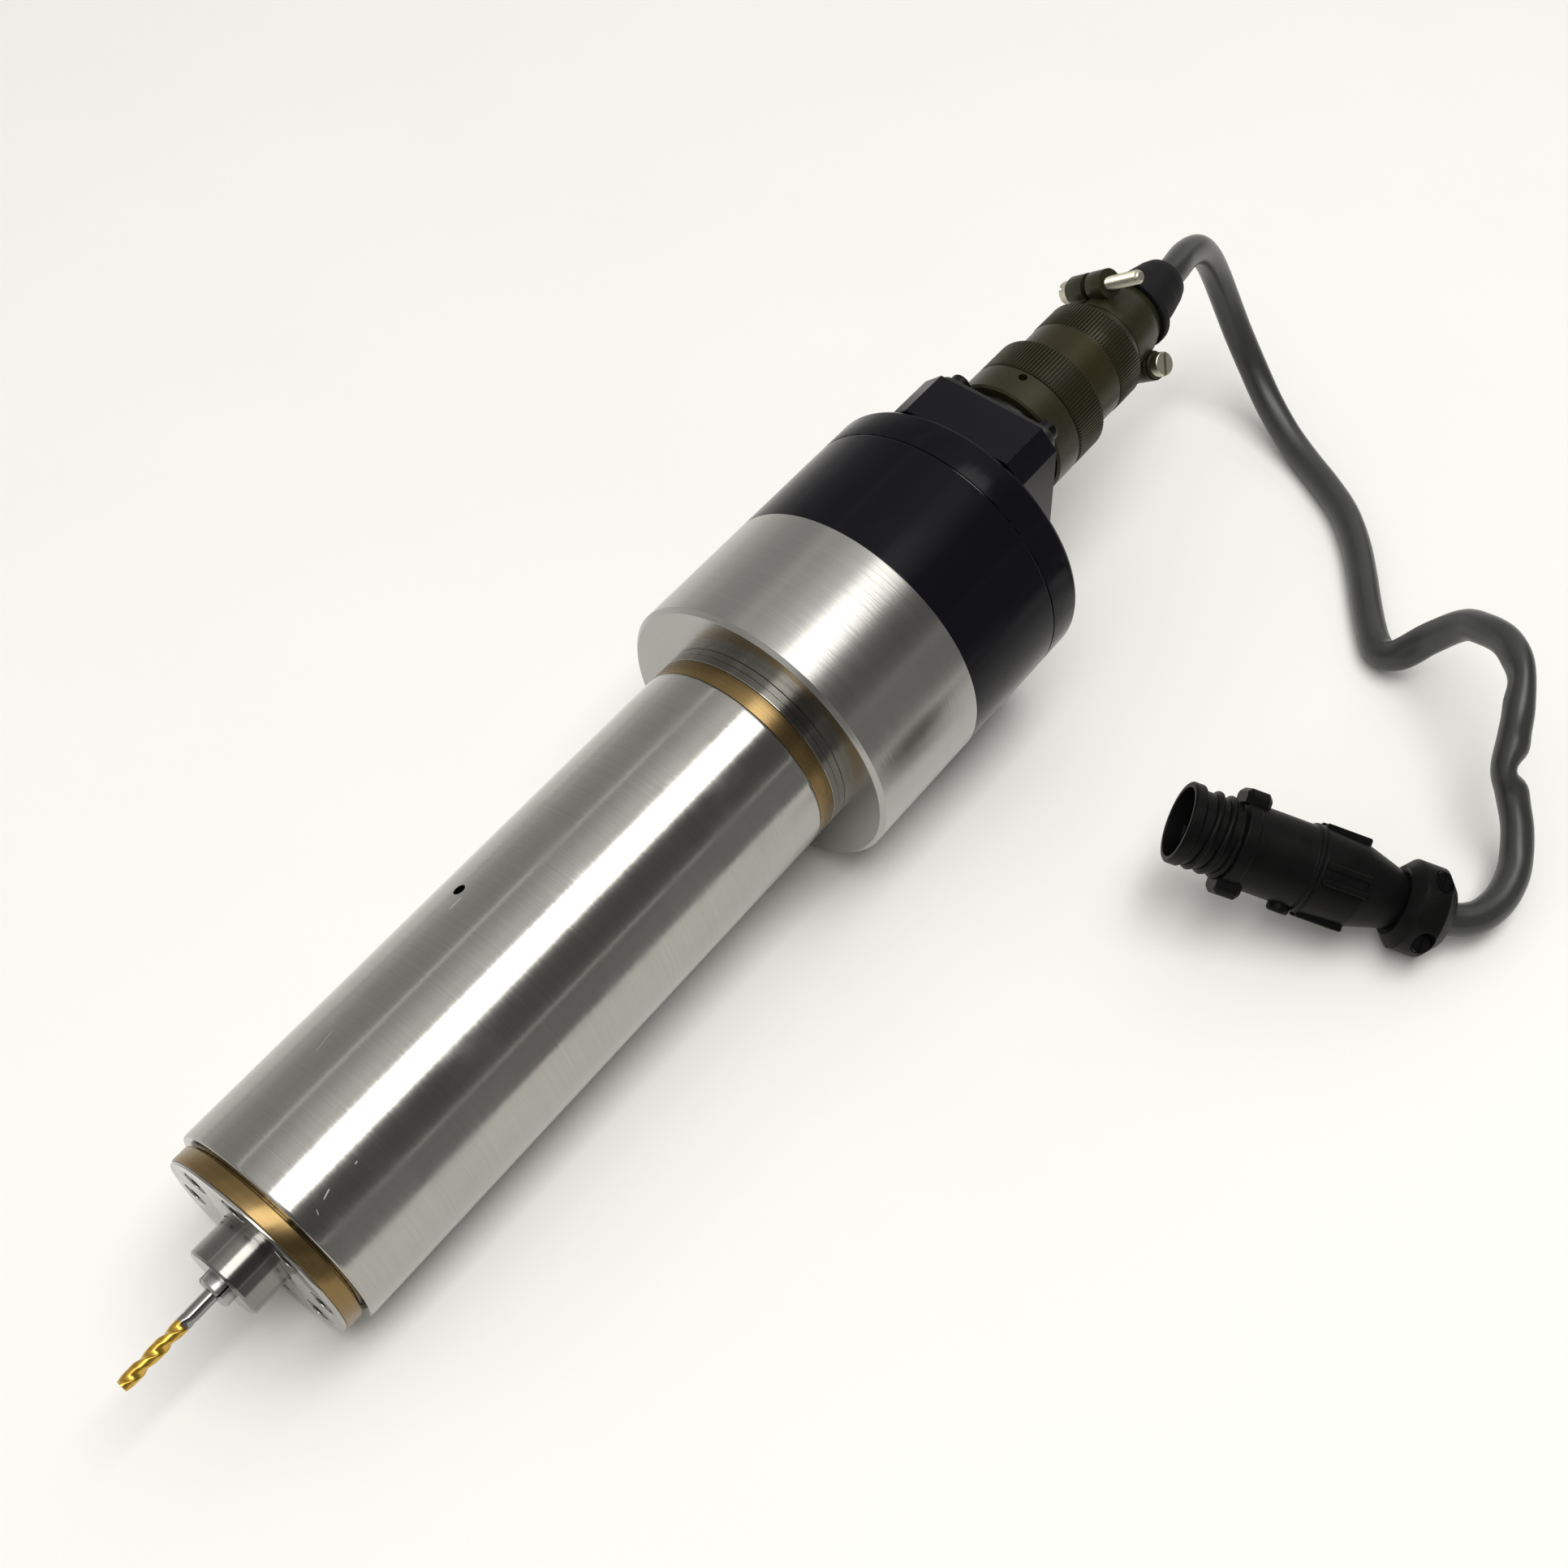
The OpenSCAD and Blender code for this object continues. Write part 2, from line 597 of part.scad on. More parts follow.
module release_piston() lay_down() color("lightsteelblue") difference() {
    turned([[push_s, 0], [push_s, nose_rod_d / 2 - 1], [push_s + 1, nose_rod_d / 2],
        [piston_s, nose_rod_d / 2], [piston_s, cylinder_d / 2 - 0.1], [piston_end, cylinder_d / 2 - 0.1],
        [piston_end, 0]]);
    difference() {
        bar(piston_s + 2.2, piston_s + 4.8, cylinder_d + 1);
        bar(piston_s + 2, piston_s + 5, cylinder_d - 4.8);
    }
}

module piston_seal() lay_down() color("black") oring(piston_s + 3.5, cylinder_d - 4.6, 2.2);

module piston_spring() {
    wire = 1.4;
    free = piston_s - bulkhead_end - wire - 0.2;
    turns = 2;
    steps = 20;
    lay_down() color("dimgray") swept([for (i = [0 : turns * steps])
        [bulkhead_end + wire / 2 + 0.1 + free * i / (turns * steps),
            9 * cos(360 * i / steps), 9 * sin(360 * i / steps)]], wire / 2, 6);
}

module block_screw_places() translate([0, 0, conn_up]) around(4, 17, 45) children();

module terminal_block() lay_down() color("#232326") difference() {
    translate([0, 0, conn_up]) rotate([0, 90, 0]) translate([0, 0, block_s]) linear_extrude(block_len)
        polygon([for (q = [0 : 3]) for (p = [[block_w / 2, block_w / 2 - block_edge],
            [block_w / 2 - block_edge, block_w / 2]])
            [p[0] * cos(90 * q) - p[1] * sin(90 * q), p[0] * sin(90 * q) + p[1] * cos(90 * q)]]);
    translate([0, 0, conn_up]) bar(block_s + 4, flange_s + 1, pocket_d);
    translate([0, 0, wire_up]) bar(block_s - 1, block_s + 5, wire_hole_d);
    block_screw_places() bar(block_s - 1, block_s + 5, m3_d + 2 * seat_gap);
    flange_screw_places() bar(flange_s - 9, flange_s + 1, m3_d + 2 * seat_gap);
}

module block_screws() lay_down() color("dimgray") block_screw_places()
    translate([block_s + 4, 0, 0]) mirror([1, 0, 0]) cap_screw(m3_d, m3_head_d, 3 * m3_d);

module flange_screw_places() translate([0, 0, conn_up]) for (y = [-1, 1], z = [-1, 1])
    translate([0, y * flange_pitch / 2, z * flange_pitch / 2]) children();

module receptacle() lay_down() color("#2a2a24") difference() {
    translate([0, 0, conn_up]) union() {
        plate(flange_s, flange_s + flange_t, flange_w, 3.5);
        bar(flange_s - 6, thread_end, plug_nose_d + 2.2);
        bar(flange_s + flange_t + 1.2, thread_end, thread_d);
    }
    translate([0, 0, conn_up]) bar(flange_s - 7, thread_end + 1, plug_nose_d + 2 * run_gap);
    flange_screw_places() bar(flange_s - 1, flange_s + flange_t + 1, m3_d + 2 * run_gap);
}

module receptacle_screws() lay_down() color("#1c1c1f") flange_screw_places()
    translate([flange_s + flange_t, 0, 0]) mirror([1, 0, 0]) cap_screw(m3_d, m3_head_d, 3 * m3_d);

module contact_places() around(contact_count, contact_pcd) children();

module receptacle_insert() on_connector() color("dimgray") difference() {
    bar(flange_s - 4, plug_nose_s - face_gap, plug_nose_d + 2 * run_gap - 0.1);
    contact_places() bar(flange_s - 5, plug_nose_s, contact_d);
}

module contacts() on_connector() color("gold") contact_places()
    bar(flange_s - 6, barrel_s + 6, contact_d);

module coupling_ring() on_connector() color("#5a5636") difference() {
    union() {
        turned([[coupling_s, 0], [coupling_s, coupling_d / 2 - 0.6], [coupling_s + 0.6, coupling_d / 2],
            [knurl_s - 0.4, coupling_d / 2], [knurl_s - 0.4, coupling_d / 2 - 0.4],
            [knurl_s, coupling_d / 2 - 0.4], [knurl_s, 0]]);
        knurled(knurl_s, coupling_end - 0.8, coupling_d, 96, 0.35);
        turned([[coupling_end - 0.8, 0], [coupling_end - 0.8, coupling_d / 2 - 0.4],
            [coupling_end, coupling_d / 2 - 1.2], [coupling_end, 0]]);
    }
    bar(coupling_s - 1, coupling_end - 3.8, thread_d + 2 * 0.1);
    bar(coupling_s, coupling_end + 1, barrel_d - 2.6);
    for (i = [0 : 2]) rotate([120 * i, 0, 0]) translate([coupling_s + band_len * 0.72, 0, 0])
        cylinder(h = coupling_d, d = 2.2);
}

module plug_barrel() on_connector() color("#5b5234") difference() {
    turned([[plug_nose_s, 0], [plug_nose_s, plug_nose_d / 2], [thread_end + 1, plug_nose_d / 2],
        [thread_end + 1, thread_d / 2 - 0.3], [coupling_end - 4.4, thread_d / 2 - 0.3],
        [coupling_end - 4.4, barrel_d / 2 - 1.5], [barrel_s, barrel_d / 2 - 1.5], [barrel_s, barrel_d / 2],
        [bell_s, barrel_d / 2], [bell_s, 0]]);
    bar(plug_nose_s - 1, bell_s + 1, shell_bore);
}

module plug_insert() on_connector() color("dimgray") difference() {
    bar(plug_nose_s, barrel_s + 2, shell_bore - 0.1);
    contact_places() bar(plug_nose_s - 1, barrel_s + 3, contact_d);
}

module end_bell() on_connector() color("#55512f") difference() {
    union() {
        turned([[bell_s, 0], [bell_s, barrel_d / 2 - 0.3], [bell_s + 0.5, barrel_d / 2 + 0.1],
            [bell_s + 0.5, 0]]);
        knurled(bell_s + 0.5, bell_end - 0.7, barrel_d + 0.4, 84, 0.35);
        turned([[bell_end - 0.7, 0], [bell_end - 0.7, barrel_d / 2], [bell_end, barrel_d / 2 - 0.8],
            [bell_end, saddle_d / 2 + 0.8], [saddle_s - 0.2, saddle_d / 2], [saddle_s - 0.2, 0]]);
    }
    bar(bell_s - 1, bell_end, shell_bore);
    bar(bell_end - 1, saddle_s + 1, grip_d + 0.4);
}

// Two halves that close on the boot's sleeve, each with a lug at both sides for the long screws
module clamp_saddles() on_clamp() color("#4f4b2d") for (way = [1, -1]) difference() {
    union() {
        intersection() {
            turned([[saddle_s, 0], [saddle_s, saddle_d / 2], [saddle_s + saddle_len - 4, saddle_d / 2 - 0.6],
                [saddle_s + saddle_len, saddle_d / 2 - 2], [saddle_s + saddle_len, 0]]);
            translate([0, -saddle_d, way > 0 ? 0.8 : -saddle_d - 0.8])
                cube([saddle_s + saddle_len + 1, 2 * saddle_d, saddle_d]);
        }
        for (y = [-1, 1]) translate([saddle_s + saddle_len / 2, y * clamp_reach, way > 0 ? 0.8 : -5.8])
            cylinder(h = 5, d = 7.4);
    }
    bar(saddle_s - 1, saddle_s + saddle_len + 1, grip_d + 2 * seat_gap);
    for (y = [-1, 1]) translate([saddle_s + saddle_len / 2, y * clamp_reach, -10])
        cylinder(h = saddle_d, d = clamp_screw_d + 2 * seat_gap);
}

// The two long screws run opposite ways, each with its head on its own washer
module clamp_screw_place(y) translate([saddle_s + saddle_len / 2, y * clamp_reach, -y * 6.8])
    rotate([0, -90 * y, 0]) children();

module clamp_screws() on_clamp() color("tan") for (y = [-1, 1]) clamp_screw_place(y)
    slotted_screw(clamp_screw_d, 1.7 * clamp_screw_d, 0.74 * clamp_screw_d, clamp_screw_len);

module clamp_washers() on_clamp() color("#4a4a3c") for (y = [-1, 1]) clamp_screw_place(y)
    tube(0, 1, 6.6, clamp_screw_d + 2 * seat_gap);

module cable_boot() on_connector() color("#1a1a1c") difference() {
    turned([[bell_end - 2, 0], [bell_end - 2, grip_d / 2], [disc_s, grip_d / 2], [disc_s, saddle_d / 2 - 0.7],
        [disc_s + 2.3, saddle_d / 2 - 0.7], [disc_s + 2.3, 8.6], [disc_s + 8, 7.7], [boot_end - 2, 6],
        [boot_end - 0.5, boot_tip_d / 2], [boot_end, boot_tip_d / 2 - 0.5], [boot_end, 0]]);
    bar(bell_end - 3, boot_end + 1, cord_d);
}

module cable() color("gray") swept(cord_line(cord_route, rings_per_span), cord_d / 2, 10);

// A square flange whose corners are round lobes, from a to b
module lobed(a, b, w, reach, lobe) rotate([0, 90, 0]) translate([0, 0, a]) linear_extrude(b - a) union() {
    rotate(45) square([w, w], center = true);
    for (t = [0 : 90 : 270]) rotate(t) translate([reach - lobe, 0]) circle(r = lobe, $fn = 32);
}

module free_shell() at_free_plug() color("#1e1e20") difference() {
    union() {
        turned([[0, 0], [0, free_d / 2 - 0.8], [0.5, free_d / 2 - 0.3], [flange_at - 1.6, free_d / 2 - 0.3],
            [flange_at - 1, free_d / 2 - 1.2], [flange_at + 1, free_d / 2 - 1.2], [flange_at + 1, 0]]);
        lobed(flange_at, flange_at + free_flange_t, free_flange_w - 3.2, free_flange_w * 0.61, 3.2);
        bar(flange_at + free_flange_t - 1, free_shell_len, free_d);
        rotate([90, 0, 0]) translate([free_shell_len - 2.4, 0, free_d / 2 - 1]) cylinder(h = 2.4, d = 4);
    }
    bar(-1, free_shell_len + 1, mouth_d);
}

module free_contact_places() {
    children();
    around(free_contact_count, mouth_d * 0.62) children();
}

module free_insert() at_free_plug() color("#2a2a2c") difference() {
    bar(insert_at, free_shell_len - 3, mouth_d - 2 * seat_gap);
    free_contact_places() bar(insert_at - 1, free_shell_len, 1.6);
}

module free_contacts() at_free_plug() color("gold") free_contact_places()
    tube(insert_at + 1, free_shell_len + 2, 1.5, 0.9);

module free_backshell() at_free_plug() color("#1e1e20") difference() {
    union() {
        turned([[free_shell_len, 0], [free_shell_len, free_d / 2], [free_shell_len + 0.8, free_d / 2 + 0.5],
            [free_shell_len + 15, free_d / 2 + 0.3], [neck_at, neck_r + 0.6], [free_clamp_at, neck_r],
            [free_clamp_at + neck_in, neck_r - 0.3], [free_clamp_at + neck_in, 0]]);
        for (a = [0 : 90 : 270]) rotate([a, 0, 0])
            translate([free_shell_len + 1, -2.6, free_d / 2 - 1]) cube([11, 5.2, 2.2]);
    }
    bar(free_shell_len - 1, free_shell_len + 12, mouth_d + 0.6);
    bar(free_shell_len + 11, free_clamp_at + neck_in + 1, cord_d + 2 * run_gap);
}

// Two halves that close on the cable behind the backshell's neck
module free_clamp() at_free_plug() color("#1e1e20") for (way = [1, -1]) difference() {
    intersection() {
        turned([[free_clamp_at, 0], [free_clamp_at, free_clamp_d / 2 - 2.5],
            [free_clamp_at + 2.5, free_clamp_d / 2], [free_len - clamp_edge, free_clamp_d / 2],
            [free_len, free_clamp_d / 2 - clamp_edge], [free_len, 0]]);
        translate([0, -free_clamp_d, way > 0 ? 0.15 : -free_clamp_d - 0.15])
            cube([free_len + 1, 2 * free_clamp_d, free_clamp_d]);
    }
    bar(free_clamp_at - 1, free_clamp_at + neck_in + run_gap, 2 * neck_r + run_gap);
    bar(free_clamp_at, free_len + 1, cord_d);
    for (y = [-1, 1]) free_screw_place(y) {
        bar(-free_clamp_d, free_clamp_d, free_screw_d + 2 * seat_gap);
        bar(-free_clamp_d, 0, 5);
    }
}

module free_screw_place(y) translate([free_clamp_at + 6.8, y * 7.2, 4.4]) rotate([0, 90, 0]) children();

module free_clamp_screws() at_free_plug() color("dimgray") for (y = [-1, 1]) free_screw_place(y)
    slotted_screw(free_screw_d, 1.84 * free_screw_d, 0.72 * free_screw_d, 4 * free_screw_d);

body_sleeve();
front_ring();
front_plate();
front_screws();
front_bearing();
rear_bearing();
bearing_spacer();
bearing_orings();
spacer_ring();
thrust_plate();
thrust_screws();
rotor_shaft();
rotor_core();
rotor_end_rings();
collet();
cutter();
drawbar();
disc_springs();
stator_core();
stator_windings();
motor_housing();
rear_housing();
rear_cover();
cover_screws();
release_piston();
piston_seal();
piston_spring();
terminal_block();
block_screws();
receptacle();
receptacle_screws();
receptacle_insert();
coupling_ring();
plug_barrel();
plug_insert();
contacts();
end_bell();
clamp_saddles();
clamp_screws();
clamp_washers();
cable_boot();
cable();
free_shell();
free_insert();
free_contacts();
free_backshell();
free_clamp();
free_clamp_screws();
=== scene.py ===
import json
import math

import bmesh
import bpy
from mathutils import Matrix, Vector


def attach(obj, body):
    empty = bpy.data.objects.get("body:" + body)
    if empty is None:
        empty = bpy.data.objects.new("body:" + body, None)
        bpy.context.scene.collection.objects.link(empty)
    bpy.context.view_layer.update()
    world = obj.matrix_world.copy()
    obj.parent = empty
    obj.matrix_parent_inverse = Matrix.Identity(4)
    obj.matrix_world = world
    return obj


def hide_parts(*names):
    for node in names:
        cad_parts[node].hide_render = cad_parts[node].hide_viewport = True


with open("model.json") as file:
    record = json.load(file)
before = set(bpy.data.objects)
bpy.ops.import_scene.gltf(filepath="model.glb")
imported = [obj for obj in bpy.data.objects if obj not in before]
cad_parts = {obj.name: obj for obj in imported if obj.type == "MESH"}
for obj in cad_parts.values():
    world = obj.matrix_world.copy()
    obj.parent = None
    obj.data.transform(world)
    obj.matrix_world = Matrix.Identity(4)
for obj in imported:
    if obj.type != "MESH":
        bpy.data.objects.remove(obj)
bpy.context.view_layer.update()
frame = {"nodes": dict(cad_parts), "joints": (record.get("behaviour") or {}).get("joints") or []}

# The picture: a camera over the cutter's end looks down along the spindle, which lies on a white bench.
# One long ceiling light runs beside the spindle; the far side of the room is pale and the near side dim.


class Value:
    """A node's output, on which Python's operators make Math nodes."""

    def __init__(self, nodes, socket):
        self.nodes = nodes
        self.socket = socket

    def out(self, name):
        return Value(self.nodes, self.socket.node.outputs[name])

    def __add__(self, other):
        return self.nodes.maths("ADD", self, other)

    def __sub__(self, other):
        return self.nodes.maths("SUBTRACT", self, other)

    def __mul__(self, other):
        return self.nodes.maths("MULTIPLY", self, other)

    def __truediv__(self, other):
        return self.nodes.maths("DIVIDE", self, other)

    def __rsub__(self, other):
        return self.nodes.maths("SUBTRACT", other, self)

    __radd__ = __add__
    __rmul__ = __mul__


class Nodes:
    """A node tree, to which nodes are added one at a time."""

    def __init__(self, tree):
        self.tree = tree

    def join(self, value, socket):
        if isinstance(value, Value):
            self.tree.links.new(value.socket, socket)
        else:
            socket.default_value = value

    def node(self, kind, settings=None, inputs=None):
        made = self.tree.nodes.new(kind)
        for name, value in (settings or {}).items():
            if name == "stops":
                while len(made.color_ramp.elements) < len(value):
                    made.color_ramp.elements.new(1)
                for stop, (where, level) in zip(made.color_ramp.elements, value):
                    stop.position = where
                    stop.color = (level, level, level, 1)
            else:
                setattr(made, name, value)
        for name, value in (inputs or {}).items():
            self.join(value, made.inputs[name])
        return Value(self, made.outputs[0])

    def maths(self, operation, *values):
        return self.node("ShaderNodeMath", {"operation": operation}, dict(enumerate(values)))

    def mixed(self, share, first, second):
        """The first colour turning into the second as the share goes from 0 to 1."""
        blend = self.node("ShaderNodeMix", {"data_type": "RGBA"}, {0: share, 6: first, 7: second})
        return Value(self, blend.socket.node.outputs[2])

    def step(self, value, low, high):
        """0 up to low and 1 from high on, smoothly between."""
        return self.node(
            "ShaderNodeMapRange",
            {"interpolation_type": "SMOOTHSTEP"},
            {"Value": value, "From Min": low, "From Max": high},
        )

    def between(self, value, rise, fall):
        """1 between a rise and a fall and 0 outside them, each given by its start and its end."""
        return self.step(value, *rise) * (1 - self.step(value, *fall))


def placed(name, data):
    """A new object in the scene."""
    made = bpy.data.objects.new(name, data)
    bpy.context.scene.collection.objects.link(made)
    return made


bpy.context.scene.view_settings.view_transform = "Standard"

lens = bpy.data.cameras.new("camera")
lens.sensor_width = 36
lens.lens = 47.57
camera = placed("camera", lens)
camera.location = (-0.21208, -0.18931, 0.39925)
camera.rotation_euler = (math.radians(37.6), 0, math.radians(-51.05))
bpy.context.scene.camera = camera

warm_white = (1, 0.985, 0.955)
ceiling_light = bpy.data.lights.new("ceiling_light", "AREA")
ceiling_light.shape = "RECTANGLE"
ceiling_light.size = 1.65
ceiling_light.size_y = 0.66
ceiling_light.energy = 15
ceiling_light.color = warm_white
placed("ceiling_light", ceiling_light).location = (-0.07, -0.36, 1.5)

world = bpy.data.worlds.new("room")
world.use_nodes = True
bpy.context.scene.world = world
room = Nodes(world.node_tree)
gaze = room.node("ShaderNodeSeparateXYZ", inputs={0: room.node("ShaderNodeTexCoord")})
height = room.maths("ABSOLUTE", room.maths("ARCTAN2", gaze.out("Z"), gaze.out("Y"))) * (1 / math.pi)
# How bright the room is from the far wall's foot (0) over the ceiling to the near wall's foot (1)
far_wall = [(0.0, 0.72), (0.09, 0.5), (0.2, 0.43), (0.276, 0.475)]
far_slat = [(0.281, 1.2), (0.289, 1.2)]
overhead = [(0.294, 0.5), (0.36, 0.65), (0.44, 0.95), (0.57, 0.85)]
near_wall = [(0.63, 0.34), (0.68, 0.12), (0.8, 0.13), (0.861, 0.19)]
near_slat = [(0.865, 0.85), (0.871, 0.85)]
near_foot = [(0.875, 0.22), (0.92, 0.28), (1.0, 0.27)]
levels = far_wall + far_slat + overhead + near_wall + near_slat + near_foot
walls = room.node("ShaderNodeValToRGB", {"stops": levels}, {"Fac": height})
warm = room.node("ShaderNodeVectorMath", {"operation": "MULTIPLY"}, {0: walls, 1: warm_white})
backdrop = (0.955, 0.945, 0.925, 1)
seen = room.mixed(room.node("ShaderNodeLightPath").out("Is Camera Ray"), warm, backdrop)
room.join(seen, world.node_tree.nodes["Background"].inputs["Color"])


class Finish(Nodes):
    """A finish whose pattern is measured about an axis: along it, across it, up and out from it."""

    def __init__(self, name, constants, origin=(0, 0, 0), turn=(0, 0, 0)):
        self.material = bpy.data.materials.new(name)
        self.material.use_nodes = True
        super().__init__(self.material.node_tree)
        self.surface = self.tree.nodes["Principled BSDF"]
        for socket, value in constants.items():
            self.surface.inputs[socket].default_value = value
        self.centred = self.node(
            "ShaderNodeMapping",
            {"vector_type": "TEXTURE"},
            {"Vector": self.node("ShaderNodeTexCoord").out("Object"), "Location": origin, "Rotation": turn},
        )
        parts = self.node("ShaderNodeSeparateXYZ", inputs={0: self.centred})
        self.along, self.across, self.up = parts.out("X"), parts.out("Y"), parts.out("Z")
        self.out_from = self.maths("SQRT", self.across * self.across + self.up * self.up)

    def scaled(self, vector, waves):
        return self.node("ShaderNodeVectorMath", {"operation": "MULTIPLY"}, {0: vector, 1: waves})

    def noise(self, where, detail=2, rough=0.5):
        sizes = {"Vector": where, "Scale": 1, "Detail": detail, "Roughness": rough}
        return self.node("ShaderNodeTexNoise", inputs=sizes)

    def pattern(self, waves, detail=2, rough=0.5):
        """Noise with so many waves to a metre, the same all ways or given for each of the three."""
        each = waves if isinstance(waves, tuple) else (waves, waves, waves)
        return self.noise(self.scaled(self.centred, each), detail, rough)

    def rings(self, lines, around):
        """Noise in rings about the axis: so many lines to a metre of the profile, so many waves around."""
        profile = self.along + self.out_from
        where = {"X": profile * lines, "Y": self.across * around, "Z": self.up * around}
        return self.noise(self.node("ShaderNodeCombineXYZ", inputs=where))

    def so_far(self, socket):
        """What is joined to the surface's socket until now."""
        return Value(self, self.surface.inputs[socket].links[0].from_socket)

    def coloured(self, value):
        self.join(value, self.surface.inputs["Base Color"])

    def tinted(self, share, dark, light):
        self.coloured(self.mixed(share, (*dark, 1), (*light, 1)))

    def rough(self, value):
        self.join(value, self.surface.inputs["Roughness"])

    def relief(self, height, depth):
        bump = self.node("ShaderNodeBump", inputs={"Strength": 1, "Distance": depth, "Height": height})
        self.join(bump, self.surface.inputs["Normal"])


# The bench: white board. The camera and the metal see it a little whiter than it lights its surroundings.
paper = Finish("white_bench", {"Roughness": 0.85, "Specular IOR Level": 0.25})
shade = paper.mixed(paper.pattern(14, 3), (0.865, 0.86, 0.84, 1), (0.895, 0.89, 0.87, 1))
rays = paper.node("ShaderNodeLightPath")
whiter = 1 + 0.09 * (rays.out("Is Camera Ray") + rays.out("Is Glossy Ray"))
paper.coloured(paper.node("ShaderNodeVectorMath", {"operation": "SCALE"}, {0: shade, "Scale": whiter}))
paper.relief(paper.pattern(900), 3e-5)
bench_mesh = bpy.data.meshes.new("bench")
bench_corners = [(-0.4, -0.29, 0), (0.7, -0.29, 0), (0.7, 0.6, 0), (-0.4, 0.6, 0)]
bench_mesh.from_pydata(bench_corners, [], [(0, 1, 2, 3)])
bench_mesh.materials.append(paper.material)
bench = placed("bench", bench_mesh)

# The lead: a grey PVC jacket 7.8 mm thick over its cores. It leaves the rubber boot, drops to the bench,
# rises in a stiff loop over a fold in its jacket and goes into the free plug. The photo shows all of it.


def curve_through(points, per_span):
    """A smooth line in metres through points in millimetres."""
    half_millimetre = 0.0005
    last = len(points) - 1
    line = []
    for i in range(last):
        a, b, c, d = (Vector(points[min(max(k, 0), last)]) for k in (i - 1, i, i + 1, i + 2))
        for j in range(per_span):
            t = j / per_span
            bent = (c - a) * t + (2 * a - 5 * b + 4 * c - d) * t * t + (3 * b - a - 3 * c + d) * t * t * t
            line.append((2 * b + bent) * half_millimetre)
    line.append(Vector(points[last]) * 0.001)
    return line


def lengths_along(line):
    total, found = 0.0, [0.0]
    for a, b in zip(line, line[1:]):
        total += (b - a).length
        found.append(total)
    return found


def square_to(ahead, direction):
    """The direction's part across the one ahead."""
    return (direction - ahead * direction.dot(ahead)).normalized()


def tube_faces(rings, sides):
    """The faces of a closed tube: the walls between its rings of points, then its two ends."""
    faces = []
    for start in range(0, (rings - 1) * sides, sides):
        for j in range(sides):
            k = (j + 1) % sides
            faces.append((start + j, start + k, start + sides + k, start + sides + j))
    faces.append(tuple(reversed(range(sides))))
    faces.append(tuple(range((rings - 1) * sides, rings * sides)))
    return faces


def fitted(name, mesh, finish, body, node):
    """A finished piece, with the body that carries it and the CAD node that it replaces."""
    mesh.name = name
    mesh.materials.clear()
    mesh.materials.append(finish.material)
    piece = placed(name, mesh)
    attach(piece, body)
    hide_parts(node)
    return piece


# The middle of the lead in millimetres, from inside the boot to inside the plug's clamp
cord_route = [
    (168, 0, 63), (178, 0, 63), (188, 2, 61), (197, 3, 57), (204, 3, 50), (209, 2, 42), (212, -1, 33),
    (213, -6, 24), (212, -13, 16), (209, -21, 10), (205, -30, 6), (201, -39, 4), (196, -48, 4),
    (190, -57, 4), (182, -65, 4), (173, -72, 4), (166, -77, 4), (157.8, -83.2, 4), (152.1, -88.4, 4.5),
    (150.8, -93.9, 8), (153.8, -99, 15), (154.2, -105.4, 24), (151.4, -110.9, 29), (147.2, -117.7, 33),
    (141.2, -123.8, 34), (132.6, -129, 31), (127.4, -131.5, 26.5), (122.1, -133.9, 22), (120, -137.3, 18),
    (116, -142, 14), (110.7, -145.6, 10.5), (105, -147.6, 9), (98, -148, 8), (91, -146, 8), (86, -141, 9),
    (82, -133, 12),
]
cord_radius = 0.0039
cord_sides = 24
cord_line = curve_through(cord_route, per_span=6)
cord_lengths = lengths_along(cord_line)
# Each fold: its point of the line, its reach along the line, its depth as a share of the radius, and the
# side of the jacket that it dents
folds = [
    (162, 0.0033, 0.42, Vector((0.5, -0.83, 0.24))),
    (112, 0.0035, 0.34, Vector((0.84, -0.45, 0.29))),
    (146, 0.0040, 0.22, Vector((-0.63, 0.78, 0))),
]
# Each flat: the same, for stretches over which the jacket is pressed oval across that direction
flats = [
    (118, 0.010, 0.14, Vector((-0.48, -0.38, 0.79))),
    (146, 0.014, 0.12, Vector((0.63, -0.78, 0))),
    (168, 0.012, 0.08, Vector((0.63, -0.78, 0))),
]

cord_points = []
sideways = Vector((0, 1, 0))
for i, centre in enumerate(cord_line):
    ahead = (cord_line[min(i + 1, len(cord_line) - 1)] - cord_line[max(i - 1, 0)]).normalized()
    sideways = square_to(ahead, sideways)
    upwards = ahead.cross(sideways)
    for j in range(cord_sides):
        angle = 2 * math.pi * j / cord_sides
        out = sideways * math.cos(angle) + upwards * math.sin(angle)
        radius = cord_radius
        for at, reach, depth, dented in folds:
            off = (cord_lengths[i] - cord_lengths[at]) / reach
            facing = max(0.0, out.dot(square_to(ahead, dented)))
            dent = math.exp(-off * off) * facing**1.5
            bulge = 0.3 * math.exp(-((abs(off) - 1.5) ** 2)) * facing
            radius += cord_radius * depth * (bulge - dent)
        for at, reach, depth, pressed in flats:
            off = (cord_lengths[i] - cord_lengths[at]) / reach
            facing = out.dot(square_to(ahead, pressed)) ** 2
            radius += cord_radius * depth * math.exp(-off * off) * (0.4 - 1.4 * facing)
        cord_points.append(centre + out * radius)
cord_mesh = bpy.data.meshes.new("lead")
cord_mesh.from_pydata(cord_points, [], tube_faces(len(cord_line), cord_sides))
cord_mesh.shade_smooth()
